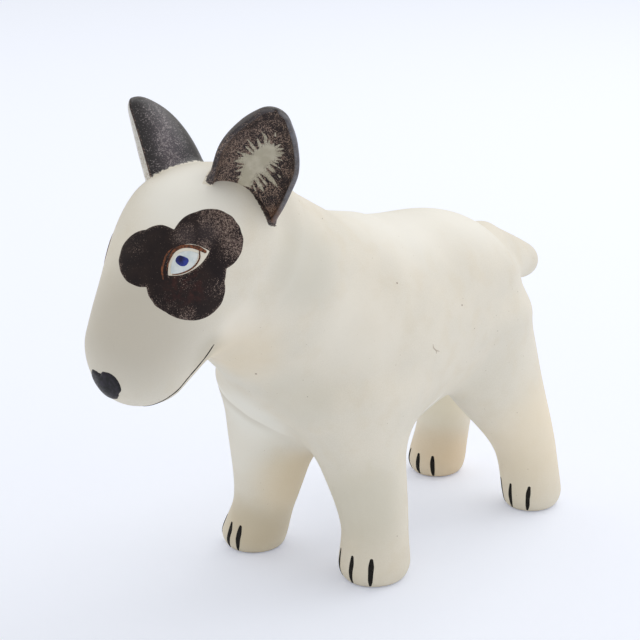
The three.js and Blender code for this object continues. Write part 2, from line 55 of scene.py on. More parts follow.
def curve(*pairs):
    """A smooth curve through (position, value) pairs, level beyond its ends."""
    t, v = np.array(pairs, float).T
    last = len(t) - 1
    before = np.maximum(np.arange(last + 1) - 1, 0)
    after = np.minimum(np.arange(last + 1) + 1, last)
    slope = (v[after] - v[before]) / (t[after] - t[before])

    def at(x):
        x = np.clip(np.asarray(x, float), t[0], t[-1])
        i = np.clip(np.searchsorted(t, x, "right") - 1, 0, last - 1)
        span = t[i + 1] - t[i]
        k = (x - t[i]) / span
        rise = (2 * k**3 - 3 * k**2 + 1) * v[i] + (3 * k**2 - 2 * k**3) * v[i + 1]
        lean = (k**3 - 2 * k**2 + k) * slope[i] + (k**3 - k**2) * slope[i + 1]
        return rise + lean * span

    return at


def level(value):
    return lambda k: np.full(np.shape(k), float(value))


class Form:
    """A tapering oval loft with rounded ends, or standing on a flat sole."""

    def __init__(self, origin, axis, side, length, half_width, half_height, start, end,
                 across=None, up=None, sole=0.0):
        self.origin = np.array(origin, float)
        self.axis, self.side = unit(axis), unit(side)
        self.lift = np.cross(self.axis, self.side)
        self.length, self.start, self.end, self.sole = length, start, end, sole
        self.half_width, self.half_height = half_width, half_height
        self.across, self.up = across or level(0), up or level(0)

    def point(self, s, angle, scale=1.0):
        k = s / self.length
        a = self.across(k) + self.half_width(k) * scale * math.cos(angle)
        b = self.up(k) + self.half_height(k) * scale * math.sin(angle)
        return self.origin + self.axis * s + self.side * a + self.lift * b

    def skin(self, k, angle):
        s = k * self.length
        end = max(0.0, s - self.length + self.end) / self.end
        start = max(0.0, self.start - s) / self.start
        return self.point(s, angle, math.sqrt(max(0.0, 1 - end * end - start * start)))

    def depth(self, p):
        """How far points lie outside the form, about in millimetres; negative inside."""
        d = p - self.origin
        s = d @ self.axis
        k = np.clip(s / self.length, 0, 1)
        a, b = self.half_width(k), self.half_height(k)
        u = (d @ self.side - self.across(k)) / a
        v = (d @ self.lift - self.up(k)) / b
        least = np.minimum(a, b)
        end = np.maximum(0, (s - self.length + self.end) / self.end)
        start = np.maximum(0, (self.start - s) / self.start)
        if not self.sole:
            return (np.sqrt(u * u + v * v + start * start + end * end) - 1) * least
        out = np.hypot(u, v)
        shaft = (np.hypot(out, end) - 1) * least
        edge = 1 - self.sole
        foot = (np.hypot(np.maximum(out - self.sole, 0) / edge, start) - 1) * edge * least
        return np.where(s < self.start, foot, shaft)


# The dog's forms, with the sizes of the CAD part
STANCE_WIDTH, STANCE_LENGTH, FORE_STRIDE = 34.5, 66.5, 7.5
WITHERS, BACK, CROUP = 85.5, 84.7, 80.8
BRISKET, BELLY, FLANK = 30.0, 32.5, 48.0
SHOULDERS, LOIN, HIPS = 51.0, 46.5, 39.5
CHEST_REACH, RUMP_REACH = 17.8, 4.2
NECK_WIDTH, NECK_DEPTH = 37.0, 39.0
HEAD_LENGTH, HEAD_TILT, HEAD_REACH, MUZZLE_HEIGHT = 60.5, math.radians(44.5), 62.5, 60.7
SKULL_WIDTH, SKULL_DEPTH, MUZZLE_WIDTH, MUZZLE_DEPTH = 39.5, 36.5, 22.0, 18.0
PAW_WIDTH, PAW_LENGTH, ANKLE = 17.0, 18.0, 16.0
FORE_UPPER, FORE_UPPER_DEPTH, THIGH, THIGH_DEPTH = 28.5, 34.0, 25.0, 37.0
TAIL_LENGTH, TAIL_DROOP, TAIL_WIDTH = 28.0, math.radians(22), 14.7
FILLET = 8.0
DROP_START, DROP_REACH = 25.0, 60.0  # how far above the clay an inlay's points start, and how far they may go

FORE_Y, HIND_Y = -STANCE_LENGTH / 2, STANCE_LENGTH / 2
CHEST_Y, RUMP_Y = FORE_Y - CHEST_REACH, HIND_Y + RUMP_REACH
back_line = curve((0, WITHERS - 15.5), (0.28, WITHERS), (0.55, BACK), (0.8, CROUP), (1, CROUP - 12.3))
belly_line = curve((0, BRISKET + 10), (0.28, BRISKET), (0.55, BELLY), (0.8, FLANK), (1, FLANK + 7))
trunk = Form(
    (0, CHEST_Y, 0),
    (0, 1, 0),
    (-1, 0, 0),
    RUMP_Y - CHEST_Y,
    curve((0, SHOULDERS * 0.39), (0.28, SHOULDERS / 2), (0.55, LOIN / 2), (0.8, HIPS / 2), (1, HIPS * 0.445)),
    lambda k: (back_line(k) - belly_line(k)) / 2,
    start=16.5,
    end=18.5,
    up=lambda k: (back_line(k) + belly_line(k)) / 2,
)

head_axis = np.array([0, -math.cos(HEAD_TILT), -math.sin(HEAD_TILT)])
muzzle_tip = np.array([0, FORE_Y - HEAD_REACH, MUZZLE_HEIGHT])
cheek_width = SKULL_WIDTH * 0.24 + MUZZLE_WIDTH * 0.23
cheek_depth = SKULL_DEPTH * 0.26 + MUZZLE_DEPTH * 0.27
head = Form(
    muzzle_tip - head_axis * HEAD_LENGTH,
    head_axis,
    (1, 0, 0),
    HEAD_LENGTH,
    curve((0, SKULL_WIDTH * 0.41), (0.35, SKULL_WIDTH / 2), (0.7, cheek_width), (1, MUZZLE_WIDTH / 2)),
    curve((0, SKULL_DEPTH * 0.455), (0.35, SKULL_DEPTH / 2), (0.7, cheek_depth), (1, MUZZLE_DEPTH / 2)),
    start=18.7,
    end=9.6,
    up=curve((0, 1.3), (0.35, 2.8), (0.7, 2.1), (1, 0)),
)

neck_foot = np.array([0, FORE_Y + 8, WITHERS * 0.7])
neck_top = head.origin + head_axis * HEAD_LENGTH * 0.3
neck = Form(
    neck_foot,
    neck_top - neck_foot,
    (1, 0, 0),
    float(np.linalg.norm(neck_top - neck_foot)),
    curve((0, NECK_WIDTH * 0.59), (1, NECK_WIDTH / 2)),
    curve((0, NECK_DEPTH * 0.65), (0.5, NECK_DEPTH * 0.59), (1, NECK_DEPTH / 2)),
    start=10,
    end=8,
    up=curve((0, 0), (0.5, -0.8), (1, 0)),
)


def leg(paw, ankle, hip, size, ankle_size, knee, knee_depth, bow, hip_width, hip_depth):
    wide, long, thick = PAW_WIDTH * size / 2, PAW_LENGTH * size / 2, ANKLE * ankle_size / 2
    middle = [a + (h - a) * 0.44 + b for a, h, b in zip(ankle, hip, bow)]
    return Form(
        (0, 0, 0),
        (0, 0, 1),
        (1, 0, 0),
        hip[2],
        curve((0, wide), (0.07, wide), (0.25, thick), (0.6, thick * knee), (1, hip_width / 2)),
        curve((0, long), (0.07, long), (0.25, thick * 1.04), (0.6, thick * knee_depth), (1, hip_depth / 2)),
        start=5,
        end=8,
        across=curve((0, paw[0]), (0.07, paw[0]), (0.28, ankle[0]), (0.6, middle[0]), (1, hip[0])),
        up=curve((0, paw[1]), (0.07, paw[1]), (0.28, ankle[1]), (0.6, middle[1]), (1, hip[1])),
        sole=0.72,
    )


HALF = STANCE_WIDTH / 2
SHOULDER_TOP, HIP_TOP = (BRISKET + WITHERS) / 2 - 2, (FLANK + CROUP) / 2 - 2.5
LEFT_FORE, RIGHT_FORE = FORE_Y + FORE_STRIDE / 2, FORE_Y - FORE_STRIDE / 2
FORE, HIND = (FORE_UPPER, FORE_UPPER_DEPTH), (THIGH, THIGH_DEPTH)
SHOULDER, HIP = 10.7, 9.1
# Each leg: paw, ankle and hip, the sizes of its paw and ankle, how wide and deep the knee is, and its bow
legs = {
    "front_left": leg(
        (HALF + 0.5, LEFT_FORE + 0.6), (HALF + 0.4, LEFT_FORE + 0.4), (SHOULDER, FORE_Y, SHOULDER_TOP),
        1.03, 1.03, 1.23, 1.48, (0, 0), *FORE,
    ),
    "front_right": leg(
        (-HALF, RIGHT_FORE + 0.8), (4 - HALF, RIGHT_FORE + 1.2), (-SHOULDER, FORE_Y, SHOULDER_TOP),
        0.98, 1, 1.36, 1.63, (0.5, 0.5), *FORE,
    ),
    "rear_left": leg(
        (HALF + 1.1, HIND_Y), (HALF - 1.3, HIND_Y - 1.3), (HIP, HIND_Y - 18, HIP_TOP),
        0.92, 1.03, 1.25, 1.95, (-1.3, -1.3), *HIND,
    ),
    "rear_right": leg(
        (2 - HALF, HIND_Y), (2.4 - HALF, HIND_Y + 2.3), (-HIP, HIND_Y - 18, HIP_TOP),
        0.92, 0.93, 1.25, 1.7, (0.4, 0.4), *HIND,
    ),
}
tail = Form(
    (0, RUMP_Y - 10, CROUP - 10.6),
    (0, math.cos(TAIL_DROOP), -math.sin(TAIL_DROOP)),
    (-1, 0, 0),
    TAIL_LENGTH,
    curve((0, TAIL_WIDTH / 2), (1, TAIL_WIDTH * 0.27)),
    curve((0, TAIL_WIDTH / 2), (1, TAIL_WIDTH * 0.27)),
    start=4,
    end=5,
)
FORMS = [trunk, neck, head, tail, *legs.values()]


def clay_depth(p):
    """The depth below or above the clay's skin, with every joint of the forms smoothed."""
    total = np.full(len(p), 1000.0)
    for form in FORMS:
        d = form.depth(p)
        h = np.maximum(FILLET - np.abs(total - d), 0) / FILLET
        total = np.minimum(total, d) - h * h * FILLET / 4
    return total


def slope_at(p, step=0.15):
    columns = []
    for axis in np.eye(3) * step:
        columns.append((clay_depth(p + axis) - clay_depth(p - axis)) / (2 * step))
    return np.stack(columns, -1)


def settle(p, rounds=4):
    """Moves points square to the clay's skin until they lie on it."""
    p = np.array(p, float).reshape(-1, 3)
    for _ in range(rounds):
        slope = slope_at(p)
        size = np.maximum((slope * slope).sum(-1), 0.15)
        p = p - slope * (clay_depth(p) / size)[:, None]
    return p


def drop(p, direction):
    """Moves points along a direction until they meet the clay's skin."""
    travelled = np.zeros(len(p))
    for _ in range(70):
        step = clay_depth(p + direction * travelled[:, None]) * 0.75
        travelled = np.clip(travelled + step, 0, DROP_REACH)
    return p + direction * travelled[:, None]


# Meshes
def add_object(name, data):
    made = bpy.data.objects.new(name, data)
    bpy.context.scene.collection.objects.link(made)
    return made


def make_piece(name, points, faces, material, slot, nodes=(), attributes=None, body="root"):
    mesh = bpy.data.meshes.new(name)
    mesh.from_pydata([tuple(p) for p in row(points)], [], [tuple(int(i) for i in f) for f in faces])
    mesh.validate()
    mesh.polygons.foreach_set("use_smooth", [True] * len(mesh.polygons))
    for key, values in (attributes or {}).items():
        made = mesh.attributes.new(key, "FLOAT", "POINT")
        made.data.foreach_set("value", np.asarray(values, np.float32))
    mesh.update()
    mesh.materials.append(material)
    piece = add_object(name, mesh)
    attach(piece, body)
    if nodes:
        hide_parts(*nodes)


def clay_mesh(cell=1.0):
    """The clay's skin as quads, from a grid of depths."""
    low, high = (-29.0, -100.0, -2.5), (29.0, 64.0, 124.0)
    axes = [np.arange(start, stop, cell) for start, stop in zip(low, high)]
    places = np.stack(np.meshgrid(*axes, indexing="ij"), -1)
    depths = clay_depth(places.reshape(-1, 3)).reshape(places.shape[:3])
    grid = openvdb.FloatGrid(20.0)
    grid.copyFromArray(depths.astype(np.float32))
    points, quads = grid.convertToQuads(isovalue=0.0)
    points = settle(points.astype(float) * cell + np.array(low))
    return even_out(points, quads.astype(int))


def even_out(points, quads, passes=4):
    """Spreads the points evenly over the skin."""
    pairs = np.concatenate([quads[:, [i, (i + 1) % 4]] for i in range(4)])
    pairs = np.unique(np.sort(pairs, axis=1), axis=0)
    degree = np.bincount(pairs.ravel(), minlength=len(points))[:, None]
    for _ in range(passes):
        total = np.zeros_like(points)
        np.add.at(total, pairs[:, 0], points[pairs[:, 1]])
        np.add.at(total, pairs[:, 1], points[pairs[:, 0]])
        points = settle(points + (total / degree - points) * 0.6, rounds=2)
    return points, quads


def contour(inside, low, high, cell):
    """Triangles over the part of a flat field where inside(x, y) is positive, cut along its outline."""
    nx, ny = (int(math.ceil((h - l) / cell)) + 1 for l, h in zip(low, high))
    x, y = np.meshgrid(low[0] + cell * np.arange(nx), low[1] + cell * np.arange(ny), indexing="ij")
    xy = np.stack([x.ravel(), y.ravel()], -1)
    value = inside(xy[:, 0], xy[:, 1])
    step = cell * 0.2
    slopes = []
    for dx, dy in ((step, 0), (0, step)):
        ahead, behind = inside(xy[:, 0] + dx, xy[:, 1] + dy), inside(xy[:, 0] - dx, xy[:, 1] - dy)
        slopes.append((ahead - behind) / (2 * step))
    slope = np.stack(slopes, -1)
    size = np.maximum((slope * slope).sum(-1), 0.2)
    close = np.abs(value) < 0.3 * cell
    xy[close] -= (slope * (value / size)[:, None])[close]
    value = np.where(close, 0.0, value)
    points, index, faces = [], {}, []

    def point(i, j):
        """A corner where i is j, or else the place between two corners where the outline runs."""
        i, j = min(i, j), max(i, j)
        if (i, j) not in index:
            index[i, j] = len(points)
            t = value[i] / (value[i] - value[j]) if i != j else 0.0
            inset = max(value[i], 0.0) if i == j else 0.0
            points.append((*(xy[i] + (xy[j] - xy[i]) * t), inset))
        return index[i, j]

    for i in range(nx - 1):
        for j in range(ny - 1):
            a, b, c, d = i * ny + j, (i + 1) * ny + j, (i + 1) * ny + j + 1, i * ny + j + 1
            for tri in [(a, b, c), (a, c, d)] if (i + j) % 2 else [(a, b, d), (b, c, d)]:
                if max(value[list(tri)]) <= 0:
                    continue
                ring = []
                for p, q in zip(tri, tri[1:] + tri[:1]):
                    if value[p] >= 0:
                        ring.append(point(p, p))
                    if value[p] * value[q] < 0:
                        ring.append(point(p, q))
                if len(ring) >= 3:
                    faces.append(ring)
    return np.array(points), faces


def thicken(faces, count):
    """Closes a sheet of faces whose points are followed by as many points of its underside."""
    sides = {}
    for ring in faces:
        for p, q in zip(ring, ring[1:] + ring[:1]):
            if (q, p) in sides:
                del sides[q, p]
            else:
                sides[p, q] = True
    under = [[i + count for i in reversed(ring)] for ring in faces]
    walls = [[q, p, p + count, q + count] for p, q in sides]
    return [*faces, *under, *walls]


def sleeve(rings, count):
    """The faces between rings of points that follow each other."""
    faces = []
    for start in range(0, (rings - 1) * count, count):
        for j in range(count):
            n = (j + 1) % count
            faces.append([start + j, start + count + j, start + count + n, start + n])
    return faces


def outward(points, faces):
    """The faces of a closed mesh, turned so that they face out."""
    volume = sum(np.dot(points[f[0]], np.cross(points[f[1]], points[f[2]])) for f in faces)
    return [f[::-1] for f in faces] if volume < 0 else faces


def inlay(name, inside, spot, right, up, box, cell, height, material, slot, nodes=(), sink=0.5):
    """A thin layer on the clay. inside(x, y) is how far a point lies within its outline, in the plane of
    right and up through the spot; height(x, y, inset) is how far it stands proud."""
    right, up = unit(right), unit(up)
    aim = np.cross(right, up)
    flat, faces = contour(inside, box[:2], box[2:], cell)
    x, y, inset = flat.T
    base = drop(spot + x[:, None] * right + y[:, None] * up + aim * DROP_START, -aim)
    out = unit(slope_at(base))
    points = np.concatenate([base + out * height(x, y, inset)[:, None], base - out * sink])
    faces = thicken(faces, len(base))
    attributes = {"inset": np.tile(inset, 2), "flat_x": np.tile(x, 2), "flat_y": np.tile(y, 2)}
    make_piece(name, points, faces, material, slot, nodes, attributes)


# Outlines in the plane
def rounds(circles, x, y):
    """How far points lie inside the nearest of some circles."""
    return np.max([r - np.hypot(x - cx, y - cy) for cx, cy, r in circles], axis=0)


def wobble(seed, scale, size):
    """A smooth random field in the plane, about +-size, with features of that scale."""
    source = np.random.default_rng(seed)
    waves = [
        (source.normal(size=2) * 2.2 / scale, source.uniform(0, 6.28), source.uniform(0.6, 1))
        for _ in range(9)
    ]
    norm = size / math.sqrt(len(waves) / 2)

    def at(x, y):
        return norm * sum(w * np.sin(f[0] * x + f[1] * y + phase) for f, phase, w in waves)

    return at


def lens(centre, half_length, slant, above, below, power=2.4):
    """An almond: how far points lie inside it."""
    c, s = math.cos(math.radians(slant)), math.sin(math.radians(slant))

    def inside(x, y):
        along = (x - centre[0]) * c + (y - centre[1]) * s
        over = (y - centre[1]) * c - (x - centre[0]) * s
        full = 1 - np.abs(along / half_length) ** power
        edge = np.minimum(above * full - over, below * full + over)
        return edge * 0.85

    return inside


def brushed(points, widths):
    """A brush stroke through points in the plane, of varying width: how far points lie inside it."""
    t = np.linspace(0, 1, len(points))
    path = [curve(*zip(t, [p[i] for p in points])) for i in (0, 1)]
    wide = curve(*zip(np.linspace(0, 1, len(widths)), widths))
    fine = np.linspace(0, 1, 40)
    px, py, r = path[0](fine), path[1](fine), wide(fine) / 2

    def inside(x, y):
        best = np.full(np.shape(x), -99.0)
        for i in range(len(fine) - 1):
            dx, dy = px[i + 1] - px[i], py[i + 1] - py[i]
            k = np.clip(((x - px[i]) * dx + (y - py[i]) * dy) / (dx * dx + dy * dy), 0, 1)
            gap = np.hypot(x - px[i] - k * dx, y - py[i] - k * dy)
            best = np.maximum(best, r[i] + (r[i + 1] - r[i]) * k - gap)
        return best

    return inside


def layer(proud, edge):
    """A layer that comes up from the clay over the width of its edge."""
    return lambda x, y, inset: proud * np.clip(inset / edge, 0, 1) ** 0.6


# Materials
def add(tree, kind, inputs=None, **options):
    made = tree.nodes.new("ShaderNode" + kind)
    for key, value in options.items():
        setattr(made, key, value)
    for key, value in (inputs or {}).items():
        if isinstance(value, bpy.types.NodeSocket):
            tree.links.new(value, made.inputs[key])
        else:
            made.inputs[key].default_value = value
    return made


def tree_of(*values):
    """The node tree of the first socket among the values."""
    return next(value.id_data for value in values if isinstance(value, bpy.types.NodeSocket))


def maths(operation, *values, clamp=False):
    inputs = dict(enumerate(values))
    return add(tree_of(*values), "Math", inputs, operation=operation, use_clamp=clamp).outputs[0]


def times(first, second):
    return maths("MULTIPLY", first, second)


def plus(first, second):
    return maths("ADD", first, second)


def noise(where, size, detail=2.0, rough=0.5):
    inputs = {"Vector": where, "Scale": 1 / size, "Detail": detail, "Roughness": rough}
    return add(where.id_data, "TexNoise", inputs).outputs["Fac"]


def between(value, low, high, to_low=0.0, to_high=1.0):
    inputs = {"Value": value, "From Min": low, "From Max": high, "To Min": to_low, "To Max": to_high}
    return add(value.id_data, "MapRange", inputs, interpolation_type="SMOOTHSTEP").outputs[0]


def blend(share, first, second):
    inputs = {0: share, 6: first, 7: second}
    return add(tree_of(share, first, second), "Mix", inputs, data_type="RGBA").outputs[2]


def attribute(where, name):
    return add(where.id_data, "Attribute", attribute_name=name).outputs["Fac"]


def near(place, at, inside, outside, most=1.0):
    """A share that falls from most to none between two distances from a point."""
    gap = add(place.id_data, "VectorMath", {0: place, 1: at}, operation="DISTANCE").outputs["Value"]
    return between(gap, inside, outside, most, 0)


def most_of(values):
    total = values[0]
    for value in values[1:]:
        total = maths("MAXIMUM", total, value)
    return total


def srgb(r, g, b):
    """A colour written as it looks, from 0 to 255."""
    shares = [c / 255 for c in (r, g, b)]
    return (*(c / 12.92 if c <= 0.04045 else ((c + 0.055) / 1.055) ** 2.4 for c in shares), 1.0)


def fresh_tree(owner):
    owner.use_nodes = True
    owner.node_tree.nodes.clear()
    return owner.node_tree


def begin(name, roughness=0.6, specular=0.5, coat=0.0, coat_roughness=0.1):
    """A material, its shader, and the place on the CAD part in millimetres."""
    material = bpy.data.materials.new(name)
    tree = fresh_tree(material)
    surface = {"Roughness": roughness, "Specular IOR Level": specular}
    coating = {"Coat Weight": coat, "Coat Roughness": coat_roughness}
    shader = add(tree, "BsdfPrincipled", surface | coating)
    add(tree, "OutputMaterial", {0: shader.outputs[0]})
    place = add(tree, "TexCoord").outputs["Object"]
    where = add(tree, "VectorMath", {0: place, "Scale": 1 / METRE}, operation="SCALE").outputs[0]
    return material, shader, where


def finish_with(shader, colour, bump=None, height=0.03, roughness=None):
    """Joins the colour, a relief with its height in millimetres, and the roughness to the shader."""
    tree = shader.id_data
    tree.links.new(colour, shader.inputs["Base Color"])
    if roughness is not None:
        tree.links.new(roughness, shader.inputs["Roughness"])
    if bump is not None:
        made = add(tree, "Bump", {"Height": bump, "Distance": height * METRE, "Strength": 1.0})
        tree.links.new(made.outputs[0], shader.inputs["Normal"])


def dots(where, size, inner, outer, keep, channel=0):
    """Scattered dots, one in each cell whose random number is above keep."""
    cells = add(where.id_data, "TexVoronoi", {"Vector": where, "Scale": 1 / size})
    chance = add(where.id_data, "SeparateColor", {0: cells.outputs["Color"]}).outputs[channel]
    return times(between(cells.outputs["Distance"], inner, outer, 1, 0), maths("GREATER_THAN", chance, keep))


def flat_place(where):
    """The place across and up from the middle of an inlay."""
    axes = {0: attribute(where, "flat_x"), 1: attribute(where, "flat_y")}
    return add(where.id_data, "CombineXYZ", axes).outputs[0]


# Iron specks: the size of their cells, their radius in it, the random number they need, and their colour
SPECKS = ((3.8, 0.05, 0.68, srgb(112, 92, 66)), (1.8, 0.07, 0.7, srgb(166, 152, 126)))


def clay_colour(where):
    """Cream stoneware: slow clouds of tone, fine grain, and a few iron specks."""
    tone = blend(between(noise(where, 16, 3, 0.55), 0.35, 0.65), srgb(246, 240, 228), srgb(241, 236, 225))
    tone = blend(between(noise(where, 5.5, 3, 0.5), 0.45, 0.72, 0, 0.25), tone, srgb(236, 225, 204))
    tone = blend(between(noise(where, 0.32, 2, 0.6), 0.3, 0.7, 0, 0.1), tone, srgb(196, 184, 160))
    for size, radius, keep, colour in SPECKS:
        tone = blend(times(dots(where, size, radius * 0.6, radius, keep), 0.7), tone, colour)
    return tone


def clay_bump(where):
    """Sponged clay: a faint tooth, with scattered pits."""
    tooth = times(noise(where, 0.28, 3, 0.6), 0.35)
    drag = times(noise(where, 3.2, 2, 0.5), 0.9)
    pits = times(dots(where, 2.9, 0.02, 0.06, 0.72, 1), -1.2)
    return plus(plus(tooth, drag), pits)


def engobe_colour(where, wear, dark, bare, size=0.18):
    """Dark engobe, rubbed so that pale grains of the clay show through where wear is high."""
    body = blend(between(noise(where, 3.5, 3), 0.35, 0.68), *dark)
    coarse = noise(where, 0.5, 2, 0.6)
    grains = plus(times(noise(where, size, 1, 0.6), 0.82), times(coarse, 0.18))
    edge = between(wear, 0, 1, 0.69, 0.48)
    open_grain = between(maths("SUBTRACT", grains, edge), 0.0, 0.05)
    pale = blend(between(coarse, 0.35, 0.65), *bare)
    return blend(times(open_grain, 0.8), body, pale), open_grain


# Painted light and shade on the clay, lighter where light falls and darker where shade falls: the middle of
# each on the CAD part, how far it reaches, its strength and its colour
PAINTED_LIGHT_AND_SHADE = (
    ((-6, -26, 41), 14, 0.9, (255, 253, 246)),
    ((-12, -30, 28), 14, 0.7, (255, 252, 244)),
    ((13, -29, 52), 12, 0.5, (230, 226, 214)),
    ((-13, 53, 30), 21, 0.9, (255, 248, 228)),
    ((20, 54, 22), 22, 0.6, (255, 240, 214)),
    ((22, -17, 68), 15, 0.6, (255, 250, 240)),
    ((5, -70, 78), 21, 0.85, (210, 204, 193)),
    ((13, -56, 71), 7, 0.65, (206, 200, 186)),
    ((15, -50, 77), 8, 0.7, (255, 248, 236)),
    ((9, -46, 65), 17, 0.4, (255, 236, 206)),
    ((6, -55, 105), 17, 0.95, (255, 254, 249)),
    ((19, -32, 87), 15, 0.7, (224, 221, 210)),
    ((4, 12, 90), 26, 0.7, (255, 254, 249)),
    ((6, 40, 86), 22, 0.7, (255, 254, 249)),
    ((20, -14, 22), 16, 0.75, (226, 221, 206)),
    ((-5, -12, 22), 15, 0.6, (240, 222, 190)),
    ((-13, -18, 8), 12, 0.68, (206, 192, 164)),
    ((-14, 56, 5), 13, 0.6, (240, 206, 160)),
)
# Single marks of iron, with how far each reaches
MARKS = (((8.1, -37.5, 59.4), 0.35), ((20.6, -2.8, 76.3), 0.3), ((22.1, 19.7, 65.8), 0.3))
EAR_DARK = srgb(44, 35, 37)
EAR_GRAINS = srgb(126, 102, 92), srgb(182, 158, 144)
EAR_GRAIN_SIZE = 0.25


def cream_clay():
    material, shader, where = begin("cream_clay", 0.55, 0.5)
    colour = clay_colour(where)
    # Painted light and shade: each patch softly lightens or darkens the clay round its middle
    for place, reach, share, tone in PAINTED_LIGHT_AND_SHADE:
        colour = blend(near(where, place, reach * 0.3, reach, share), colour, srgb(*tone))
    for place, reach in MARKS:
        colour = blend(near(where, place, reach * 0.5, reach, 0.75), colour, srgb(128, 92, 70))
    height = add(where.id_data, "SeparateXYZ", {0: where}).outputs[2]
    # Painted warm shade: the clay gets warmer and darker towards the floor
    colour = blend(between(height, 1, 24, 0.22, 0), colour, srgb(232, 214, 182))
    # Each crease has a painted highlight just above it and painted shade below it
    across, fade = attribute(where, "crease"), attribute(where, "crease_fade")
    beside = maths("ABSOLUTE", maths("SUBTRACT", across, 0.6))
    colour = blend(times(between(beside, 0.3, 1.7, 0.9, 0), fade), colour, srgb(255, 252, 244))
    shade = times(between(across, -4.0, -0.5, 0, 0.4), between(across, -0.6, 0.1, 1, 0))
    colour = blend(times(shade, fade), colour, srgb(206, 198, 182))
    # Engobe that ran on from the left ear
    ragged = between(noise(where, 0.5, 3, 0.6), 0.3, 0.7, -0.25, 0.25)
    paint = between(plus(attribute(where, "ear_paint"), ragged), -0.08, 0.08)
    wear = between(noise(where, 2.2, 2), 0.35, 0.65, 0.35, 0.7)
    dark, _ = engobe_colour(where, wear, (EAR_DARK, srgb(54, 46, 48)), EAR_GRAINS, EAR_GRAIN_SIZE)
    rough = between(noise(where, 7, 2), 0.3, 0.7, 0.5, 0.6)
    finish_with(shader, blend(paint, colour, dark), clay_bump(where), 0.035, rough)
    return material


# Where the patch is rubbed: the place across and up from the eye, how far it reaches, and how much
RUBBED = (
    (8.5, 9.5, 7.8, 0.92),
    (11.5, 4.0, 6.0, 0.95),
    (4.9, 3.9, 3.2, 0.75),
    (-3.5, -9.5, 4.5, 0.4),
    (7.5, -5.5, 4.0, 0.5),
    (1.5, -11.5, 3.5, 0.6),
    (1.0, -4.0, 3.5, 0.5),
    (0.5, 6.0, 5.0, 0.6),
    (-10.5, 3.5, 4.0, 0.3),
)


def patch_engobe():
    material, shader, where = begin("patch_engobe", 0.6, 0.16)
    flat = flat_place(where)
    rim = between(attribute(where, "inset"), 0.0, 1.3, 0.55, 0)
    spots = [near(flat, (x, y, 0), reach * 0.25, reach, most) for x, y, reach, most in RUBBED]
    cloud = between(noise(where, 3.2, 2), 0.35, 0.65, 0.7, 1.1)
    wear = plus(times(most_of([*spots, rim]), cloud), 0.1)
    dark, bare = (srgb(38, 31, 33), srgb(46, 37, 37)), (srgb(126, 106, 102), srgb(176, 156, 146))
    colour, open_grain = engobe_colour(where, wear, dark, bare)
    # A painted sheen: a smooth, lighter grey band over the patch above the eye
    painted_sheen_band = most_of([near(flat, (x, y, 0), 0.5, 4.0, 0.6) for x, y in ((1.0, 5.8), (5.5, 6.6))])
    colour = blend(painted_sheen_band, colour, srgb(68, 60, 63))
    under = near(flat, (0.8, -5.2, 0), 2.0, 6.5, 0.4)
    rusty = times(under, between(noise(where, 1.5, 4, 0.6), 0.4, 0.7))
    colour = blend(rusty, colour, srgb(88, 50, 46))
    finish_with(shader, colour, noise(where, 0.3, 2), roughness=between(open_grain, 0, 1, 0.6, 0.7))
    return material


def ear_engobe():
    material, shader, where = begin("ear_engobe", 0.36, 0.5)
    inner, rub_and_sheen, cup = (attribute(where, name) for name in ("inner", "rub_and_sheen", "cup_side"))
    cloud = between(noise(where, 2.6, 2), 0.35, 0.65, 0.55, 1.15)
    # Where the rub value is high the engobe is lighter: worn engobe in the cup, and a painted sheen across
    # the back of the outside
    thin = blend(between(rub_and_sheen, 0.2, 0.9, 0, 0.7), srgb(33, 30, 35), srgb(108, 102, 112))
    body = [blend(cup, thin, tone) for tone in (EAR_DARK, srgb(54, 46, 49))]
    outer_grains = srgb(134, 126, 134), srgb(172, 164, 168)
    grains = [blend(cup, outside, inside) for outside, inside in zip(outer_grains, EAR_GRAINS)]
    dark, open_grain = engobe_colour(where, plus(times(rub_and_sheen, cloud), 0.12), body, grains, EAR_GRAIN_SIZE)
    # A painted highlight: lighter grey along the left ear's rim, most on its right side
    rim = times(attribute(where, "painted_rim_highlight"), between(noise(where, 1.6, 3), 0.3, 0.7, 0.5, 0.95))
    dark = blend(rim, dark, srgb(124, 124, 132))
    # The left ear's lowest point is worn brown
    tip = times(near(where, (16.7, -41.9, 99.3), 0.8, 4.6, 0.85), cloud)
    dark = blend(tip, dark, srgb(134, 98, 76))
    # The right ear's inside is pale clay, painted near white for the light from behind it
    pale = blend(open_grain, srgb(255, 255, 254), srgb(226, 220, 214))
    dark = blend(attribute(where, "pale"), dark, pale)
    # It starts in a ragged line above the head's skin, lower in the cup and at the lowest point
    ragged = between(noise(where, 0.8, 3, 0.65), 0.3, 0.7, -0.2, 0.2)
    start = add(where.id_data, "MapRange", {"Value": inner, "To Min": 0.35, "To Max": -0.6}).outputs[0]
    line = maths("SUBTRACT", plus(attribute(where, "above"), ragged), start)
    line = plus(line, near(where, (16.7, -41.9, 98.75), 2.0, 3.6, 1.5))
    colour = blend(between(line, -0.15, 0.15), clay_colour(where), dark)
    shader.id_data.links.new(between(cup, 0, 1, 0.5, 0.3), shader.inputs["Specular IOR Level"])
    finish_with(shader, colour, noise(where, 0.3, 2), roughness=between(cup, 0, 1, 0.3, 0.52))
    return material


def pale_clay():
    material, shader, where = begin("pale_brushwork", 0.6, 0.3)
    tone = blend(between(noise(where, 2.2, 3), 0.35, 0.7), srgb(202, 196, 178), srgb(218, 212, 196))
    drag = between(noise(where, 0.25, 3, 0.7), 0.47, 0.62)
    fringe = between(attribute(where, "inset"), 0.0, 0.8, 0.8, 0.03)
    tone = blend(times(drag, fringe), tone, srgb(92, 70, 58))
    finish_with(shader, tone, noise(where, 0.3, 2))
    return material


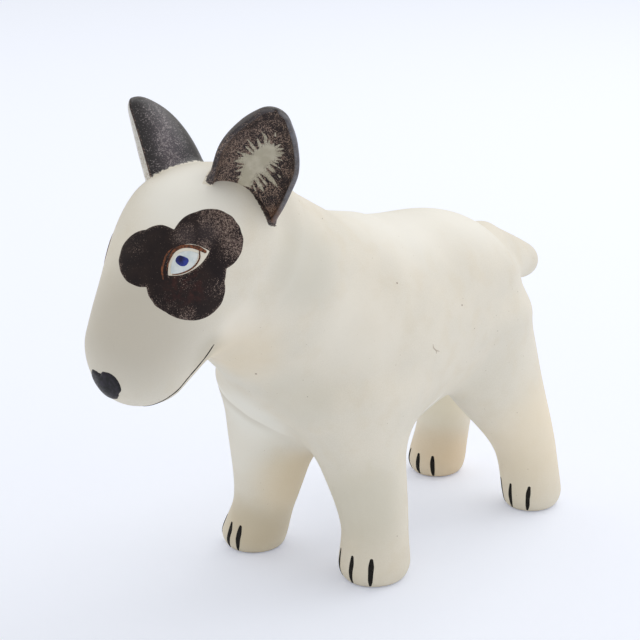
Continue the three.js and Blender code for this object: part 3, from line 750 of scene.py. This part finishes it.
def cobalt_glaze():
    material, shader, where = begin("cobalt_glaze", 0.25, 0.3, 0.2, 0.06)
    share = near(flat_place(where), (-0.3, 0.55, 0), 0.3, 1.5)
    share = maths("ADD", share, between(noise(where, 0.7, 2), 0.3, 0.7, -0.3, 0.3), clamp=True)
    tone = blend(share, srgb(44, 60, 158), srgb(10, 12, 74))
    finish_with(shader, tone, noise(where, 1.2, 1), 0.02)
    return material


def faint_iron():
    material, shader, where = begin("faint_iron", 0.6, 0.4)
    finish_with(shader, blend(0.5, clay_colour(where), srgb(150, 124, 104)))
    return material


def two_tones(name, surface, cloud, tones, relief, height=0.03, rough=None):
    """A material with clouds between two tones. surface is what begin takes; cloud is the size and detail of
    a noise and its values at each tone; relief is the size and detail of another."""
    material, shader, where = begin(name, *surface)
    size, detail, low, high = cloud
    tone = blend(between(noise(where, size, detail), low, high), *(srgb(*colour) for colour in tones))
    if rough:
        rough = between(noise(where, 0.6, 2), 0.3, 0.7, *rough)
    finish_with(shader, tone, noise(where, *relief), height, rough)
    return material


clay = cream_clay()
patch = patch_engobe()
ear_dark = ear_engobe()
pale = pale_clay()
glazed = (0.22, 0.5, 0.6, 0.06)
glaze_tones = ((236, 242, 246), (216, 228, 236))
glaze = two_tones("white_glaze", glazed, (1.6, 2, 0.35, 0.7), glaze_tones, (1.2, 1), 0.02)
cobalt = cobalt_glaze()
rust = two_tones("rust_oxide", (0.5, 0.4), (0.45, 3, 0.38, 0.62), ((66, 36, 24), (132, 76, 46)), (0.25, 2))
faint = faint_iron()
dark_clouds, fine_relief = (0.8, 3, 0.35, 0.68), (0.5, 2)
black = two_tones(
    "black_brushwork", (0.6, 0.2), dark_clouds, ((20, 18, 17), (34, 31, 29)), fine_relief, rough=(0.54, 0.7)
)
nose_black = two_tones(
    "nose_glaze", (0.4, 0.3), dark_clouds, ((22, 23, 28), (42, 38, 52)), fine_relief, rough=(0.34, 0.5)
)

# Two creases, where the chest overlaps the right fore leg and along the belly, each painted on the clay as a
# highlight line with shade below it: the points of each, and how strong it is along its length
CREASES = (
    (
        ((-12.8, -50.2, 45.7), (-9.9, -50.7, 44.6), (-7.3, -50.3, 43.4), (-3.6, -47.9, 40.7),
         (-0.1, -43.5, 37.3), (6.3, -41.6, 35.3)),
        ((0, 1), (0.4, 1), (0.62, 0.55), (0.9, 0.0)),
    ),
    (
        ((18.2, -12.8, 37.4), (18, -11.3, 38.7), (18.2, -7.8, 40.2), (18.4, -4.0, 41.5)),
        ((0, 0.5), (0.3, 1), (0.7, 0.9), (1, 0)),
    ),
)


def crease_values(points):
    """The distance across the nearest crease, above it positive, and how strong the crease is there."""
    out = slope_at(points)
    best, across, fade = np.full(len(points), 6.0), np.full(len(points), 6.0), np.zeros(len(points))
    for line, strength in CREASES:
        line = np.array(line)
        run = np.concatenate([[0], np.cumsum(np.linalg.norm(np.diff(line, axis=0), axis=1))])
        for i, (start, end) in enumerate(zip(line, line[1:])):
            along = end - start
            k = np.clip((points - start) @ along / (along @ along), 0, 1)
            offset = points - start - k[:, None] * along
            gap = np.linalg.norm(offset, axis=1)
            closer = gap < best
            square = unit(np.cross(along, out))
            square *= np.where(square[:, 2:] < 0, -1, 1)
            signed = (offset * square).sum(-1)
            best = np.where(closer, gap, best)
            across = np.where(closer, signed, across)
            fade = np.where(closer, curve(*strength)((run[i] + k * np.linalg.norm(along)) / run[-1]), fade)
    return {"crease": across, "crease_fade": fade * (best < 5)}


def ear_paint(points):
    """How far points lie inside the engobe that runs from the left ear's cup on to the head."""
    start, end, beside = (11.08, -64.79, 105.35), (17.02, -64.49, 98.75), (16.4, -61.4, 97.6)
    start, end, beside = (np.array(p) for p in (start, end, beside))
    along = unit(end - start)
    out = unit(slope_at((start + end)[None] / 2))[0]
    square = unit(np.cross(along, out))
    square = square * np.sign(square @ (beside - start))
    t, a = (points - start) @ along, (points - start) @ square
    reach = np.linalg.norm(end - start)
    value = np.min([a, t + 0.3, reach + 1.3 - t, 3.9 + 0.35 * (reach - t) - a], axis=0)
    return np.where(np.abs((points - start) @ out) < 6, np.clip(value, -3, 3), -3)


body_points, body_quads = clay_mesh()
body_values = {**crease_values(body_points), "ear_paint": ear_paint(body_points)}
clay_nodes = ["trunk", "head", "tail", *(limb + "_leg" for limb in legs)]
make_piece("clay_body", body_points, body_quads, clay, "clay", clay_nodes, body_values)

# Ears
LEFT_FOOT = head.point(9.8, math.radians(34.7), 0.87)
RIGHT_FOOT = head.point(15.4, math.radians(152.5), 0.8)
LEFT_EAR_HEIGHT, RIGHT_EAR_HEIGHT, EAR_WIDTH, EAR_DEPTH = 22.5, 23.9, 18.3, 13.3
EAR_RIM, CUP_DEPTH = 1.1, 5.0
EAR_ARC, LIP_ARC = np.linspace(0, math.pi, 45), np.linspace(0, math.pi, 9)[1:-1]
LEAF = ((-0.3, 0.74), (-0.1, 0.92), (0.2, 1), (0.45, 1), (0.7, 0.78), (0.88, 0.51), (0.96, 0.35), (1, 0.1))
leaf = curve(*LEAF)


class Ear:
    """A cupped leaf. k is the share of its height, u runs along its width and v out of its mouth."""

    def __init__(self, side, foot, lean, turn, height, pale=0.0):
        lean, turn = math.radians(lean), math.radians(turn)
        self.side, self.foot, self.height, self.pale = side, foot, height, pale
        self.rise = np.array([side * math.sin(lean), 0, math.cos(lean)])
        mouth = np.array([side * math.sin(turn), -math.cos(turn), 0])
        self.mouth = unit(mouth - self.rise * (mouth @ self.rise))
        self.along = np.cross(self.rise, self.mouth)

    def at(self, k, u, v):
        k, u, v = (np.asarray(a, float)[..., None] for a in (k, u, v))
        return self.foot + self.rise * k * self.height + self.along * u + self.mouth * v

    def half(self, k):
        return leaf(k) * EAR_WIDTH / 2

    def back(self, k):
        return EAR_DEPTH * np.sqrt(np.maximum(0.004, 1 - np.maximum(k, 0) ** 2))

    def cup(self, k):
        foot = 1 - 0.8 * np.clip((0.3 - np.asarray(k)) / 0.5, 0, 1) ** 1.5
        return CUP_DEPTH * foot * np.sqrt(np.maximum(0, 1 - (np.maximum(k, 0.25) - 0.25) ** 2 / 0.56))

    def inner(self, k):
        return np.maximum(self.half(k) - EAR_RIM, self.half(k) * 0.3)

    def tip(self, k):
        """The mouth's edge draws back towards the tip."""
        return -1.5 * (1 - np.sqrt(np.maximum(0, 1 - (np.maximum(k, 0.88) - 0.88) ** 2 / 0.0145)))

    def floor(self, x, h):
        """Points on the floor of the cup, from the distance across it and up it."""
        k = h / self.height
        inner, deep = self.inner(k), self.cup(k)
        v = -deep * np.sqrt(np.maximum(0, 1 - (x / inner) ** 2))
        return self.at(k, x, v + self.tip(k))

    def rings(self, ks):
        """Rings of points, over the outside, the far lip, the cup and the near lip, and the way they face."""
        cos, sin, lip_cos, lip_sin = np.cos(EAR_ARC), np.sin(EAR_ARC), np.cos(LIP_ARC), np.sin(LIP_ARC)
        rings, normals = [], []
        for k in ks:
            a, b, inner, deep = self.half(k), self.back(k), self.inner(k), self.cup(k)
            rim, middle = (a - inner) / 2, (a + inner) / 2
            u = np.concatenate([a * cos, -middle - rim * lip_cos, -inner * cos, middle - rim * lip_cos])
            v = np.concatenate([-b * sin, rim * 0.9 * lip_sin, -deep * sin, rim * 0.9 * lip_sin])
            rings.append(self.at(np.full(len(u), k), u, v + self.tip(k)))
            face_u = np.concatenate([cos / max(a, 0.1), -lip_cos, cos / inner, -lip_cos])
            face_v = np.concatenate([-sin / b, lip_sin, sin / max(deep, 0.3), lip_sin])
            face = unit(np.stack([face_u, face_v], -1))
            normals.append(face[:, :1] * self.along + face[:, 1:] * self.mouth)
        return rings, normals

    def mesh(self):
        ks = -0.3 + 1.295 * (1 - (1 - np.linspace(0, 1, 54)) ** 1.6)
        rings, normals = self.rings(ks)
        count = len(rings[0])
        points = np.concatenate(rings)

        def spread(outside, lip, cup):
            """One value for each point, and none for the two ends."""
            lips = np.full(len(LIP_ARC), lip)
            ring = np.concatenate([outside, lips, np.full(len(EAR_ARC), cup), lips])
            return np.append(np.tile(ring, len(ks)), [0, 0])

        shown = self.side > 0
        edge = np.abs(np.cos(EAR_ARC)) * shown
        inner = spread(0 * edge, 0.15, 1.0)
        cup_side = spread(np.clip((edge - 0.8) / 0.12, 0, 1), 1, 1)
        # Painted highlight along the left ear's rim
        painted_rim_highlight = spread(np.clip((edge - 0.88) / 0.08, 0, 1), 1, 0) * shown
        # The foot is smoothed into the head
        above, ground = clay_depth(points), unit(slope_at(points))
        out = np.concatenate(normals)
        out = out - ground * (out * ground).sum(-1, keepdims=True)
        out = out / np.maximum(np.linalg.norm(out, axis=-1, keepdims=True), 0.3)
        reach = np.where(inner[:-2] > 0.1, 0.5, 2.0)
        part = 1 - np.clip((above + 0.3) / reach, 0, 1)
        points = points + out * (reach * (1 - np.sqrt(1 - part**2)))[:, None]
        above = clay_depth(points)
        points = np.concatenate([points, [rings[0].mean(0)], [rings[-1].mean(0) + self.rise * 0.12]])
        base, tip, last = len(points) - 2, len(points) - 1, (len(ks) - 1) * count
        faces = sleeve(len(ks), count)
        for j in range(count):
            n = (j + 1) % count
            faces += [[base, j, n], [last + j, tip, last + n]]
        # Where the engobe is worn, with a painted sheen in a band across the back of the outside; and where
        # the inside is pale
        offset = points - self.foot
        across = offset @ self.along * self.side
        pale = self.pale * (inner > 0.1) * np.clip(across / 1.5 + 0.5, 0, 1)
        # Painted sheen: the outside is lighter in a band across the middle of its back
        back = 0.12 + 0.6 * np.exp(-((offset @ self.mouth + 5.3) / 4.0) ** 2)
        rub_and_sheen = np.where(inner > 0.5, np.clip(0.86 - across * 0.03, 0.6, 1.0), np.where(inner > 0.1, 0.6, back))
        values = {
            "above": np.append(above, [above.min(), above.max()]),
            "inner": inner,
            "pale": pale,
            "rub_and_sheen": rub_and_sheen * np.clip(1.5 - offset @ self.rise / self.height, 0.6, 1),
            "cup_side": cup_side,
            "painted_rim_highlight": painted_rim_highlight * np.clip(0.5 + across / 6, 0.2, 1),
        }
        return points, outward(points, faces), values


left_ear = Ear(side=1, foot=LEFT_FOOT, lean=25.5, turn=46.5, height=LEFT_EAR_HEIGHT)
right_ear = Ear(side=-1, foot=RIGHT_FOOT, lean=21, turn=37, height=RIGHT_EAR_HEIGHT, pale=1.0)


# Brush strokes in the cup: where each starts across and up, where it ends, and how wide it is at both
EAR_STROKES = (
    (-0.9, -1.2, -0.5, 6.2, 2.7, 4.0), (-0.4, 0.6, 1.3, -2.6, 2.0, 1.4),
    (-1.0, 0.0, -0.8, -2.4, 2.4, 1.6), (0.2, 5.6, 1.9, 10.2, 4.2, 4.2),
    (-2.2, 6.2, 0.6, 6.8, 2.2, 3.4), (-1.6, 6.2, -4.9, 5.5, 1.3, 0.15),
    (-1.8, 6.6, -4.0, 6.5, 1.1, 0.15), (-1.8, 7.2, -4.7, 8.1, 1.1, 0.12),
    (-1.2, 5.2, -3.7, 4.5, 1.0, 0.15), (-1.0, 4.4, -3.8, 3.3, 1.0, 0.15),
    (-0.9, 3.0, -3.1, 1.9, 0.9, 0.15), (-0.9, 1.9, -2.6, 0.9, 0.8, 0.15),
    (-0.4, 8.8, -3.6, 11.9, 0.9, 0.12), (-0.8, 8.2, -3.5, 9.9, 0.8, 0.12),
    (0.2, 10.0, -1.6, 12.6, 0.8, 0.12), (0.8, 11.4, -0.6, 15.0, 0.7, 0.1),
    (1.5, 11.4, 1.1, 13.2, 0.8, 0.12), (2.1, 11.4, 2.3, 13.6, 0.8, 0.12),
    (2.6, 11.2, 3.7, 13.3, 0.9, 0.15), (2.6, 10.8, 4.6, 12.6, 0.9, 0.15),
    (2.9, 10.2, 4.9, 11.6, 0.9, 0.15), (2.9, 9.6, 4.6, 10.5, 0.9, 0.15),
    (2.9, 8.9, 5.3, 9.5, 0.9, 0.15), (2.8, 8.3, 4.8, 8.5, 0.9, 0.15),
    (2.6, 7.8, 5.5, 7.4, 0.9, 0.15), (0.6, 7.2, 5.9, 5.6, 1.3, 0.25),
    (0.1, 6.0, 6.4, 3.1, 2.0, 0.3), (-0.4, 4.9, 4.4, 2.1, 0.9, 0.12),
    (-0.4, 4.0, 4.4, 0.3, 1.3, 0.15), (-0.6, 3.0, 2.5, -0.2, 0.7, 0.1),
    (-0.8, 2.4, 1.6, -1.4, 0.95, 0.1), (-1.3, 14.9, 0.25, 13.2, 0.15, 0.55),
    (1.6, 16.3, 2.0, 14.8, 0.15, 0.5),
)


def ear_strokes(side):
    parts = []
    for x0, y0, x1, y1, wide, tip in EAR_STROKES:
        path = ((x0, y0), ((x0 + x1) / 2, (y0 + y1) / 2), (x1, y1))
        parts.append(brushed(path, (wide, (wide * 1.5 + tip) / 2.4, tip)))
    fray = wobble(31, 0.7, 0.1)

    def inside(x, y):
        return np.max([part(x * side, y) for part in parts], axis=0) + fray(x * side, y)

    return inside


def ear_pale(name, ear, box, node):
    flat, faces = contour(ear_strokes(ear.side), box[:2], box[2:], 0.13)
    x, h, inset = flat.T
    top = ear.floor(x, h)
    step = 0.05
    dx = ear.floor(x + step, h) - ear.floor(x - step, h)
    dh = ear.floor(x, h + step) - ear.floor(x, h - step)
    out = unit(np.cross(dx, dh))
    out = np.where((out @ ear.mouth)[:, None] < 0, -out, out)
    points = np.concatenate([top + out * (0.04 + 0.05 * np.clip(inset, 0, 1))[:, None], top - out * 0.25])
    faces = outward(points, thicken(faces, len(top)))
    make_piece(name, points, faces, pale, "pale", [node], {"inset": np.tile(inset, 2)})


for name, ear in (("left_ear", left_ear), ("right_ear", right_ear)):
    points, faces, values = ear.mesh()
    make_piece(name + "_clay", points, faces, ear_dark, "ear", [name], values)
ear_pale("left_ear_brushwork", left_ear, (-5.4, -2.6, 6.8, 17.3), "left_ear_pale_patch")
ear_pale("right_ear_brushwork", right_ear, (-6.8, -2.6, 5.4, 17.3), "right_ear_pale_patch")


# Eyes, each in a plane that faces out from it
def facing(aim):
    """The directions across and up in the plane that faces along aim."""
    aim = unit(aim)
    right = unit(np.cross([0, 0, 1], aim))
    return right, np.cross(aim, right)


EYE_REACH = 0.507  # along the head
eye_view = (settle([head.skin(EYE_REACH, math.radians(49))])[0], *facing([0.62, -0.69, 0.37]))
# The right eye sits a little further round the head
right_view = (settle([head.skin(EYE_REACH, math.radians(150))])[0], *facing([-0.9, -0.38, 0.24]))
# Circles: the middle across and up, and the radius
PATCH_LOBES = (
    (-8.1, 1.0, 6.3),
    (-5.2, 2.7, 5.5),
    (6.2, 5.0, 6.9),
    (4.3, 4.8, 6.4),
    (1.6, -4.8, 7.7),
    (-1.0, -4.6, 6.6),
    (3.6, -1.6, 6.0),
    (-0.5, 1.4, 5.4),
)
IRIS_LOBES = ((-0.15, 0.42, 1.12), (0.5, 0.14, 1.05), (0.15, 0.25, 1.17))
NOSE_LOBES = ((-2.1, 0.5, 2.75), (2.1, 1.0, 3.05), (0.2, 0.2, 3.0))
socket = lens((1.6, -0.15), half_length=5.2, slant=31.5, above=4.0, below=1.7, power=2.4)
white = lens((0.68, -0.18), half_length=3.7, slant=37, above=2.45, below=1.75, power=2.3)
shake = wobble(3, 3.0, 0.07)
blot = wobble(9, 1.3, 0.08)
upper_lid = brushed(
    ((5.1, 2.4), (3.7, 3.1), (2.3, 3.45), (0.8, 3.5), (-0.6, 3.15), (-1.8, 2.25), (-2.5, 0.9), (-2.95, -0.5),
     (-3.1, -1.9)),
    (0.7, 0.95, 0.8, 0.75, 0.75, 0.7, 0.5, 0.35, 0.2),
)
lower_lid = brushed(
    ((3.9, 2.4), (3.9, 0.9), (3.0, -0.65), (1.6, -1.7), (-0.3, -2.45), (-2.0, -2.75)),
    (0.3, 0.34, 0.34, 0.4, 0.34, 0.12),
)
fold = brushed(
    ((-1.6, 3.3), (-3.0, 2.0), (-3.75, 0.2), (-4.15, -1.6), (-3.9, -3.7)),
    (0.2, 0.5, 0.55, 0.6, 0.4),
)


def patch_inside(x, y):
    return np.minimum(rounds(PATCH_LOBES, x, y) + shake(x, y), -socket(x, y) + 0.6 * shake(x, y))


def iris_inside(x, y):
    return rounds(IRIS_LOBES, x, y) + blot(x, y)


def lids_inside(x, y):
    return np.max([upper_lid(x, y), lower_lid(x, y), fold(x, y)], axis=0)


def dome(x, y, inset=None):
    return 0.04 + 0.42 * (1 - np.exp(-np.maximum(white(x, y), 0) / 0.9))


def iris_height(x, y, inset):
    return dome(x, y) + 0.02 + 0.03 * np.clip(inset / 0.4, 0, 1)


def flipped(form):
    return lambda x, y, *rest: form(-x, y, *rest)


inlay("eye_patch_engobe", patch_inside, *eye_view, (-15.2, -13.3, 13.9, 12.7), 0.26, layer(0.1, 0.35),
      patch, "patch", ["eye_patch"])
for side, view in (("left", eye_view), ("right", right_view)):
    forms = [white, iris_inside, lids_inside, dome, iris_height, layer(0.17, 0.12)]
    if side == "right":
        forms = [flipped(form) for form in forms]
    eyeball, blue, lids, eyeball_height, blue_height, lids_height = forms
    inlay(side + "_eye_white", eyeball, *view, (-4.6, -4.2, 4.6, 4.2), 0.14, eyeball_height,
          glaze, "eyeball", [side + "_eyeball"])
    inlay(side + "_eye_iris", blue, *view, (-1.8, -1.5, 1.8, 1.9), 0.09, blue_height,
          cobalt, "iris", [side + "_iris"], 0.1)
    inlay(side + "_eye_lids", lids, *view, (-5.8, -4.8, 5.8, 4.6), 0.1, lids_height, rust, "patch", sink=0.3)

# A thin fired mark on the left flank
HAIR_WIDTHS = (0.2, 0.34, 0.3, 0.15)
hair = brushed(((-1.25, 1.45), (-1.0, 0.5), (0.14, -0.46), (1.5, -1.06)), HAIR_WIDTHS)
hair_end = brushed(((0.1, -0.4), (0.16, -0.7), (0.22, -1.0), (0.28, -1.3)), HAIR_WIDTHS)


def hair_inside(x, y):
    return np.maximum(hair(x, y), hair_end(x, y))


inlay("hair_mark", hair_inside, settle([[25.1, -15.6, 58.3]])[0], (0, 1, 0), (0, 0, 1),
      (-1.7, -1.6, 1.8, 1.8), 0.1, layer(0.02, 0.1), faint, "clay", sink=0.2)

# Nose, with two lobes along its top edge
nose_shake = wobble(21, 1.6, 0.08)


def nose_inside(x, y):
    chin = 3.25 - np.hypot(x * 0.85, y + 0.7)
    return np.maximum(rounds(NOSE_LOBES, x, y), chin) + nose_shake(x, y)


def nose_height(x, y, inset):
    """A rounded edge, and a soft swelling over the middle."""
    return np.clip(inset / 0.6, 0, 1) ** 0.6 * (0.25 + 0.5 * np.exp(-(x * x + y * y) / 9))


nose_spot = np.array([-0.6, muzzle_tip[1] - 2, MUZZLE_HEIGHT + 3.8])
inlay("nose_pad", nose_inside, nose_spot, *facing([0, -0.95, -0.3]), (-5.6, -4.7, 5.6, 4.5), 0.18,
      nose_height, nose_black, "black", ["nose"])

# The mouth is one brushed line from cheek to cheek under the chin: places along the head, and the angle there
HALF_MOUTH = (
    (0.655, -24),
    (0.7, -29),
    (0.75, -30.5),
    (0.8, -30),
    (0.86, -30.5),
    (0.9, -33),
    (0.935, -42),
    (0.955, -57),
    (0.962, -74),
)
MOUTH_ROUND, MOUTH_PROUD = 10, 0.1  # points round the line, and how thick its paint is
mouth_knots = [*HALF_MOUTH, (0.964, -90), *[(k, -180 - a) for k, a in reversed(HALF_MOUTH)]]
steps = np.linspace(0, 1, len(mouth_knots))
mouth_k = curve(*zip(steps, [k for k, _ in mouth_knots]))
mouth_angle = curve(*zip(steps, [a for _, a in mouth_knots]))
run = np.linspace(0, 1, 160)
mouth_line = settle([head.skin(float(mouth_k(t)), math.radians(float(mouth_angle(t)))) for t in run])
mouth_out = unit(slope_at(mouth_line))
mouth_side = unit(np.cross(unit(np.gradient(mouth_line, axis=0)), mouth_out))
HALF_WIDTHS = ((0, 0.14), (0.02, 0.55), (0.08, 0.7), (0.3, 0.56))
mouth_width = curve(*HALF_WIDTHS, (0.5, 0.5), *[(1 - t, width) for t, width in reversed(HALF_WIDTHS)])
mouth_points = []
for t, spot, out, side in zip(run, mouth_line, mouth_out, mouth_side):
    half_width = float(mouth_width(t)) / 2 * (1 + 0.12 * math.sin(t * 61) + 0.08 * math.sin(t * 143))
    for a in np.linspace(0, 2 * math.pi, MOUTH_ROUND, endpoint=False):
        offset = side * half_width * math.cos(a) + out * (MOUTH_PROUD * math.sin(a) - 0.01)
        mouth_points.append(spot + offset)
mouth_faces = [[a, d, c, b] for a, b, c, d in sleeve(len(run), MOUTH_ROUND)]
mouth_faces.append(list(reversed(range(MOUTH_ROUND))))
mouth_faces.append(list(range(len(mouth_points) - MOUTH_ROUND, len(mouth_points))))
make_piece("mouth_stroke", np.array(mouth_points), mouth_faces, black, "black", ["mouth_line"])

# Toe strokes: how far each turns round the paw, how high they are, how long, and how they lean
TOES = {
    "front_left": ((-31, 3, 36.5), 4.6, 1.22, 0.12),
    "front_right": ((-44, -6, 16), 4.5, 1.22, 0.8),
    "rear_left": ((-37, -4.5, 32), 4.3, 1.15, 0.12),
    "rear_right": ((-34, -1, 32), 3.7, 0.95, 0.0),
}
for limb, form in legs.items():
    paw = form.point(0, 0, 0)
    turns, middle, stretch, slope = TOES[limb]
    for turn, place in zip(turns, ("right", "middle", "left")):
        turn = math.radians(turn)
        ahead = np.array([math.sin(turn), -math.cos(turn), 0])
        side = np.array([math.cos(turn), math.sin(turn), 0])
        spot = paw + ahead * 8 + np.array([0, 0, middle])
        lean = slope + rng.uniform(-0.12, 0.12)
        bow = rng.uniform(-0.15, 0.15)
        size = rng.uniform(0.92, 1.08)
        knots = ((lean, 2.9), (lean * 0.6 + bow, 1.5), (bow, 0), (-lean * 0.5, -1.6), (-lean, -2.95))
        widths = rng.uniform(0.92, 1.08, 5) * (0.8, 1.25, 1.3, 1.1, 0.6) * size
        mark = brushed([(a, b * stretch) for a, b in knots], widths)
        name = f"{limb}_toe_{place}"
        inlay(name + "_stroke", mark, spot, side, (0, 0, 1), (-2.0, -4.3, 2.0, 4.3), 0.12, layer(0.08, 0.2),
              black, "black", [name], 0.3)


# Floor, light and camera
def by_ray(tree, other, seen):
    """One shader for all light but the camera's, and one for what the camera sees."""
    inputs = {0: add(tree, "LightPath").outputs["Is Camera Ray"], 1: other.outputs[0], 2: seen.outputs[0]}
    return add(tree, "MixShader", inputs).outputs[0]


def floor(size=6.0):
    mesh = bpy.data.meshes.new("floor")
    corners = [(-size, -size, 0), (size, -size, 0), (size, size, 0), (-size, size, 0)]
    mesh.from_pydata(corners, [], [(0, 1, 2, 3)])
    made = add_object("floor", mesh)
    material = bpy.data.materials.new("pale_floor")
    tree = fresh_tree(material)
    paper = add(tree, "BsdfDiffuse", {"Color": (0.885, 0.92, 0.985, 1)})
    glow = add(tree, "Emission", {"Color": (0.64, 0.71, 1.0, 1), "Strength": 0.21})
    lit = add(tree, "AddShader", {0: paper.outputs[0], 1: glow.outputs[0]})
    add(tree, "OutputMaterial", {0: by_ray(tree, paper, lit)})
    mesh.materials.append(material)


LAMP_SIZE, LAMP_AIM = 0.9, (0, 0, 0.06)


def softbox(name, place, watts, colour=(1, 1, 1)):
    light = bpy.data.lights.new(name, "AREA")
    light.shape, light.size, light.size_y = "RECTANGLE", LAMP_SIZE, LAMP_SIZE
    light.energy, light.color = watts, colour
    made = add_object(name, light)
    made.location = place
    made.rotation_mode = "QUATERNION"
    made.rotation_quaternion = (Vector(LAMP_AIM) - Vector(place)).to_track_quat("-Z", "Y")


floor()
softbox("side_light", (0.676, 0.653, 0.402), 1.1, (0.88, 0.9, 1.0))
softbox("back_light", (0.01, 0.616, 0.848), 2.65)
softbox("left_light", (-0.616, 0.01, 0.848), 0.86, (0.95, 0.95, 1.0))

scene = bpy.context.scene
scene.world = bpy.data.worlds.new("studio")
studio = fresh_tree(scene.world)
room = add(studio, "Background", {"Color": (1.0, 0.98, 0.92, 1), "Strength": 0.64})
wall = add(studio, "Background", {"Color": (0.88, 0.93, 1.0, 1), "Strength": 1.0})
add(studio, "OutputWorld", {0: by_ray(studio, room, wall)})

AZIMUTH, ELEVATION = math.radians(44.02), math.radians(18.72)
CAMERA_PLACE = (310.08, -350.91, 214.48)
level_back = Vector((math.sin(AZIMUTH), -math.cos(AZIMUTH), 0)) * math.cos(ELEVATION)
back = level_back + Vector((0, 0, math.sin(ELEVATION)))
right = Vector((math.cos(AZIMUTH), math.sin(AZIMUTH), 0))
turned = Matrix((right, back.cross(right), back)).transposed()
glass = bpy.data.cameras.new("camera")
glass.lens, glass.sensor_width = 108.3, 36.0
glass.clip_start, glass.clip_end = 0.01, 20
scene.camera = add_object("camera", glass)
scene.camera.matrix_world = Matrix.Translation(row(CAMERA_PLACE)) @ turned.to_4x4()
scene.view_settings.view_transform = "Standard"
